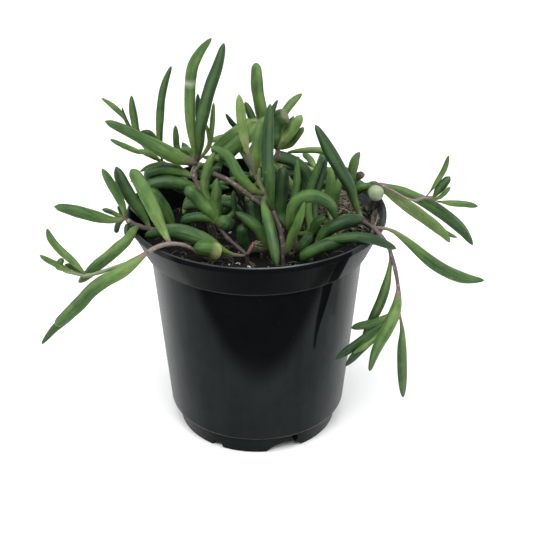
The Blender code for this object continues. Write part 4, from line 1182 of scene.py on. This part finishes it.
# Leafy stem that trails over the right of the rim.
# It goes over the lip and hangs beside the pot with a tuft of slim leaves at its end.
dress_shoot("shoot_right_trailing", 9, [
    (0.8, [(31, -7, STEM_FOOT), (31, -7, 84), (36, -7.5, 89.5), (40.9, -11, 93.2),
           (42.3, -16.5, 94.8), (43.8, -21, 95.8), (46, -25.5, 95), (49.3, -26.3, 90.3),
           (52.5, -26.5, 80), (54, -26.5, 72), (54.5, -26.5, 64)], [
        (1, 4.2, "stalked", [(28.6, 2, 94), (29.1, 4, 101.7), (29, 5, 109.4)], 0.64),
        (1, 4.3, "stalked", [(29.6, 2.5, 93.4), (31.3, 4, 100), (32.4, 5, 104.6)], 0.60),
        (3, 4.8, "long", [(38.8, -8.5, 97.6), (37.4, -8, 101.2), (35.5, -10, 107.5),
            (31.7, -12, 115), (27.8, -12.5, 122.1), (24.6, -13, 128.3), (21.7, -12, 133.5)], 0.23),
        (5, 5.0, "slim_foot", [(49.9, -23.5, 96.1), (53.5, -25, 94.3), (57.7, -26, 91.1),
            (61.6, -27, 87.8), (67, -28, 83.6), (72.7, -29, 80.5), (78.9, -29, 78.1),
            (86, -29, 77.2)], 0.42),
        (7, 3.8, "slim_foot", [(50.4, -25.5, 85.1), (50.2, -25, 78.9), (49.4, -24.5, 72.5),
            (47.9, -24, 65.6), (45.3, -24, 58.4), (41.5, -24.5, 50.1)], 0.45),
        (10, 3.7, "long", [(52.4, -27, 61.5), (49.7, -27.5, 59.8), (46, -27.5, 58),
            (40.7, -27, 56.4), (36.4, -27, 55.3)], 0.50),
        (10, 3.5, "long", [(49.7, -28.5, 58.8), (44.4, -29, 54.4), (39.1, -30, 50.3),
            (34.6, -30, 46.4), (30.4, -30, 42.6)], 0.28),
        (10, 3.5, "long", [(49.7, -29, 57.3), (44.7, -31, 53.4), (39.8, -32, 48.4),
            (34.4, -32, 41)], 0.28),
        (10, 2.3, "long", [(48.8, -31, 56.7), (44.2, -32.5, 52.7), (40.4, -33, 49.9),
            (37, -33, 47.4)], 0.68),
        (9, 5.0, "spear", [(53.6, -28, 66.5), (51.8, -31, 62.1), (49.5, -33, 58),
            (47.3, -34, 53.6), (45.3, -35, 48.9), (43.5, -35, 40.6)], 0.48),
        (10, 3.9, "slim_foot", [(56.2, -28, 54.9), (56.5, -28, 48), (57, -28, 40.1),
            (58.3, -28, 23.3)], 0.40),
    ]),
])

# Leafy stem at the right wall, with its side branch.
# It grows out of the mound, spreads over the rim to the right and ends in a loose spray.
# One of its leaves is broken off and shows its pale round end.
dress_shoot("shoot_right_rim", 10, [
    (1.0, [(36, 12, STEM_FOOT), (36, 12, 86), (38, 10, 93), (42, 7, 99), (45, 5, 102),
           (48, 3, 103)], [
        (5, 5.0, "long", [(56, 0.6, 101.6), (61, -1, 99.6), (66.4, -3, 97.4), (71.5, -4, 94.2),
            (76.3, -5, 90.8), (80.8, -6, 86.7), (85, -7, 81)], 0.35),
        (4, 5.2, "long", [(51.3, 4, 99.2), (56.5, 4, 95.3), (61.7, 5, 91.2), (66.8, 6, 87),
            (71.8, 6, 83), (76, 6, 79), (78.4, 6, 75.5)], 0.70),
        (4, 3.4, "long", [(51, 5.5, 98.6), (56, 6, 94.4), (61.1, 7, 90.2), (66.3, 8, 86),
            (72.3, 7.5, 82.1), (76.5, 6.5, 79.6), (81.3, 6.5, 77.5)], 0.62),
        (3, 6.1, "cut", [(45.6, 5, 99.5), (46.7, -1.5, 100.8)], 0.58, ("pale", 0.70, 0.92, 9.0)),
        (2, 3.9, "long", [(37.4, 8, 99), (37.2, 6.5, 104), (37.8, 6, 108.5), (38.7, 6, 112.3),
            (40.3, 6, 115.4)], 0.55, ("dead", 0.90, 0.97, 9.0)),
        (3, 3.2, "blunt", [(39.2, 8.5, 102.6), (40.8, 8, 104.4), (42.8, 8, 104.9)], 0.38,
            ("dead", 0.62, 0.85, 9.0)),
        (2, 3.5, "blunt", [(38.6, 5, 99), (41, 3.8, 101.2), (45.6, 4, 101.8)], 0.55),
        (2, 2.9, "stalked", [(36.4, 9, 98), (33.4, 8, 103.6), (30.6, 7.5, 109.6), (27.6, 8, 114.3),
            (22.5, 9, 114.9), (17.1, 9.5, 114.4), (12, 9, 113.9)], 0.78),
    ]),
    (0.55, [(48, 3, 103), (54, -3, 102), (58, -6, 100.7), (61.9, -6, 100.1), (65, -6, 101.2),
            (68, -6, 101), (70, -6, 99.5)], [
        (4, 2.2, "slim_foot", [(67.1, -6, 104.1), (69.1, -6, 107.9), (71.8, -5, 112.8),
            (73.2, -4, 117.9)], 0.50),
        (5, 3.5, "long", [(70.5, -6, 105.2), (72.6, -6, 108.1), (74.1, -6, 110)], 0.28),
        (5, 2.0, "long", [(70, -8, 102), (74, -9, 107)], 0.55),
        (6, 2.7, "long", [(75.6, -6, 98.7), (80.6, -6, 98.3), (85.8, -6, 97.3)], 0.50),
    ], DRY_SKIN),
])

# Leafy stem behind the middle.
# It carries the leaves that fan out to the right at the top and a thick broken one.
dress_shoot("shoot_back_right", 11, [
    (1.0, [(10, 4, STEM_FOOT), (10, 3, 84), (10, 2, 97), (9, 4, 111), (8, 4, 118)], [
        (4, 3.4, "long", [(8.7, 5, 128.1), (11, 6, 132), (14.1, 8, 135.3), (17.5, 9, 138.1)],
            0.62),
        (4, 6.2, "cut", [(6.4, 2, 125.6), (7.1, 1, 130.4), (11.2, 0, 132.6)], 0.38,
            ("callus", 0.93, 0.98, 9.0)),
        (4, 4.6, "blade", [(11.3, 2, 123.2), (14.4, 2, 127.4), (17.3, 2, 132)], 0.72),
        (4, 4.2, "blade", [(8.5, 3, 121.5), (10.8, 3, 128.1)], 0.70),
        (4, 2.1, "long", [(10.6, 5, 124.8), (12.6, 6, 127.3), (14.5, 7, 129.8)], 0.40),
        (4, 3.1, "blade", [(13, 4.5, 119.3), (15.9, 5, 122.8), (18.3, 6, 125.6)], 0.55),
    ], PALE_SKIN),
])

# Low leafy stems of the back half.
# Seven short stems lean outward from the soil, each with five to seven curved leaves round
# its top, all lower than the rest of the plant.
# Each is listed as the (x, y) of its foot, its bend and its top, and its leaves, each as
# (place along the route, thickness, middle, tip).
BACK_RADIUS = 0.95
BACK_HEIGHTS = (STEM_FOOT, 85, 91, 97)
BACK_TONES = (0.25, 0.45, 0.65, 0.35, 0.55)
BACK_SEED = 20
back_shoots = [
    ([(-24.9, 16.7), (-26.4, 17.7), (-28.7, 19.2)], [
        (2, 3.8, (-38.7, 16.8, 98.7), (-50.9, 15.9, 98.9)),
        (2, 3.9, (-36, 17.1, 97.8), (-45.5, 16.6, 98.9)),
        (2, 2.8, (-27.4, 6.2, 94.7), (-28.3, -5.4, 94.2)),
        (2, 2.6, (-18.6, 11.8, 97.5), (-10.7, 6, 100.1)),
        (2, 3.1, (-14.7, 17.8, 96.5), (-2.9, 17.9, 100.1)),
        (2, 2.7, (-31, 26.8, 98.5), (-35.6, 36, 97.7)),
    ]),
    ([(-18.9, 28.3), (-19.7, 29.5), (-20.9, 31.3)], [
        (2, 4.4, (-25.4, 35.5, 96.3), (-31.1, 41.5, 105.3)),
        (3, 4.3, (-26.6, 29.4, 101.2), (-32.2, 27.6, 104.5)),
        (3, 2.7, (-23.7, 20.7, 103.8), (-26.4, 10.1, 102.4)),
        (2, 3.7, (-17.4, 24.6, 97.5), (-15, 19.7, 103)),
        (3, 4.4, (-14.4, 29.7, 104.5), (-7.9, 28.1, 105.6)),
        (2, 4.1, (-16.6, 35.3, 96), (-13.4, 41.2, 105.2)),
    ]),
    ([(0.8, 33), (0.8, 35.1), (0.9, 38.3)], [
        (3, 3.5, (3.6, 44.8, 103.5), (6.3, 51.2, 103.3)),
        (2, 3.4, (-3.8, 40.4, 98.1), (-8.4, 45.6, 104.6)),
        (3, 4, (-9.5, 43, 106), (-19.9, 47.7, 103.5)),
        (2, 3.8, (-3.4, 29.6, 94.7), (-7.6, 24.2, 97.8)),
        (3, 3.1, (-0.6, 28.5, 100.3), (-2.1, 18.7, 99.5)),
        (2, 3.2, (9.8, 30.4, 93.6), (17.6, 26.2, 97.4)),
        (3, 2.7, (9.9, 40, 97), (18.4, 41.6, 98.2)),
    ]),
    ([(21.7, 26.2), (23, 27.8), (25, 30.2)], [
        (3, 3.8, (28.5, 40.3, 99.6), (32, 50, 99.4)),
        (3, 3, (22.4, 36.2, 99.6), (19.8, 42.2, 99.6)),
        (3, 3.7, (16.2, 32, 98.4), (8, 33.7, 97.6)),
        (2, 4, (15.9, 24.3, 93), (8.7, 20.8, 94.4)),
        (2, 3.6, (31.9, 21.2, 95), (40.8, 14.6, 96)),
        (3, 3.5, (31.8, 28.9, 97.4), (38.6, 27.6, 98.6)),
    ]),
    ([(-17, -0.3), (-19.4, -0.4), (-22.9, -0.4)], [
        (3, 2.9, (-28, 3, 100.4), (-34.5, 4.5, 102.4)),
        (3, 2.8, (-26, -4.4, 98.6), (-28.4, -7.4, 98.4)),
        (3, 2.9, (-15.1, -2.6, 99.3), (-7.2, -4.7, 100.5)),
        (2, 3.8, (-13.4, 2.1, 92.1), (-7.4, 4.6, 95.6)),
        (2, 3.7, (-21.8, 7.4, 98.8), (-24.2, 15.1, 99.1)),
    ]),
    ([(-3.4, 15.6), (-3.9, 18), (-4.7, 21.6)], [
        (2, 4.4, (-7.3, 29.2, 90), (-10.6, 40.4, 94.6)),
        (3, 2.9, (-13.4, 24.7, 103.7), (-22.1, 27.8, 104.3)),
        (2, 3, (-3.4, 8.2, 94.1), (-3, -1.7, 98.4)),
        (2, 4.3, (2.8, 12.8, 91.3), (9.6, 7.6, 93.9)),
        (2, 2.8, (1.6, 17.5, 97.5), (7, 16.9, 98)),
    ]),
    ([(15.5, 12.6), (17.5, 14.2), (20.4, 16.6)], [
        (2, 4, (23.1, 16.6, 96), (28.8, 18.9, 97)),
        (2, 4, (10.6, 21.7, 98.7), (3.7, 29.2, 99.1)),
        (2, 3.9, (9.1, 15.8, 103), (0.8, 17.3, 105)),
        (3, 3.4, (17.9, 10.6, 99.8), (15.4, 4.5, 105.6)),
        (2, 3.4, (24.3, 11.5, 95), (31.1, 8.7, 95.6)),
    ]),
]
for number, (plan, back_leaves) in enumerate(back_shoots):
    route = [(x, y, height) for (x, y), height in zip([plan[0], *plan], BACK_HEIGHTS)]
    leaves = [(place, thickness, "long", points, BACK_TONES[index % len(BACK_TONES)])
              for index, (place, thickness, *points) in enumerate(back_leaves)]
    dress_shoot(f"shoot_back_{number + 1}", BACK_SEED + number, [(BACK_RADIUS, route, leaves)])

for rod in (fibre_rod, leaf_rod, stem_rod):
    bpy.data.objects.remove(rod, do_unlink=True)
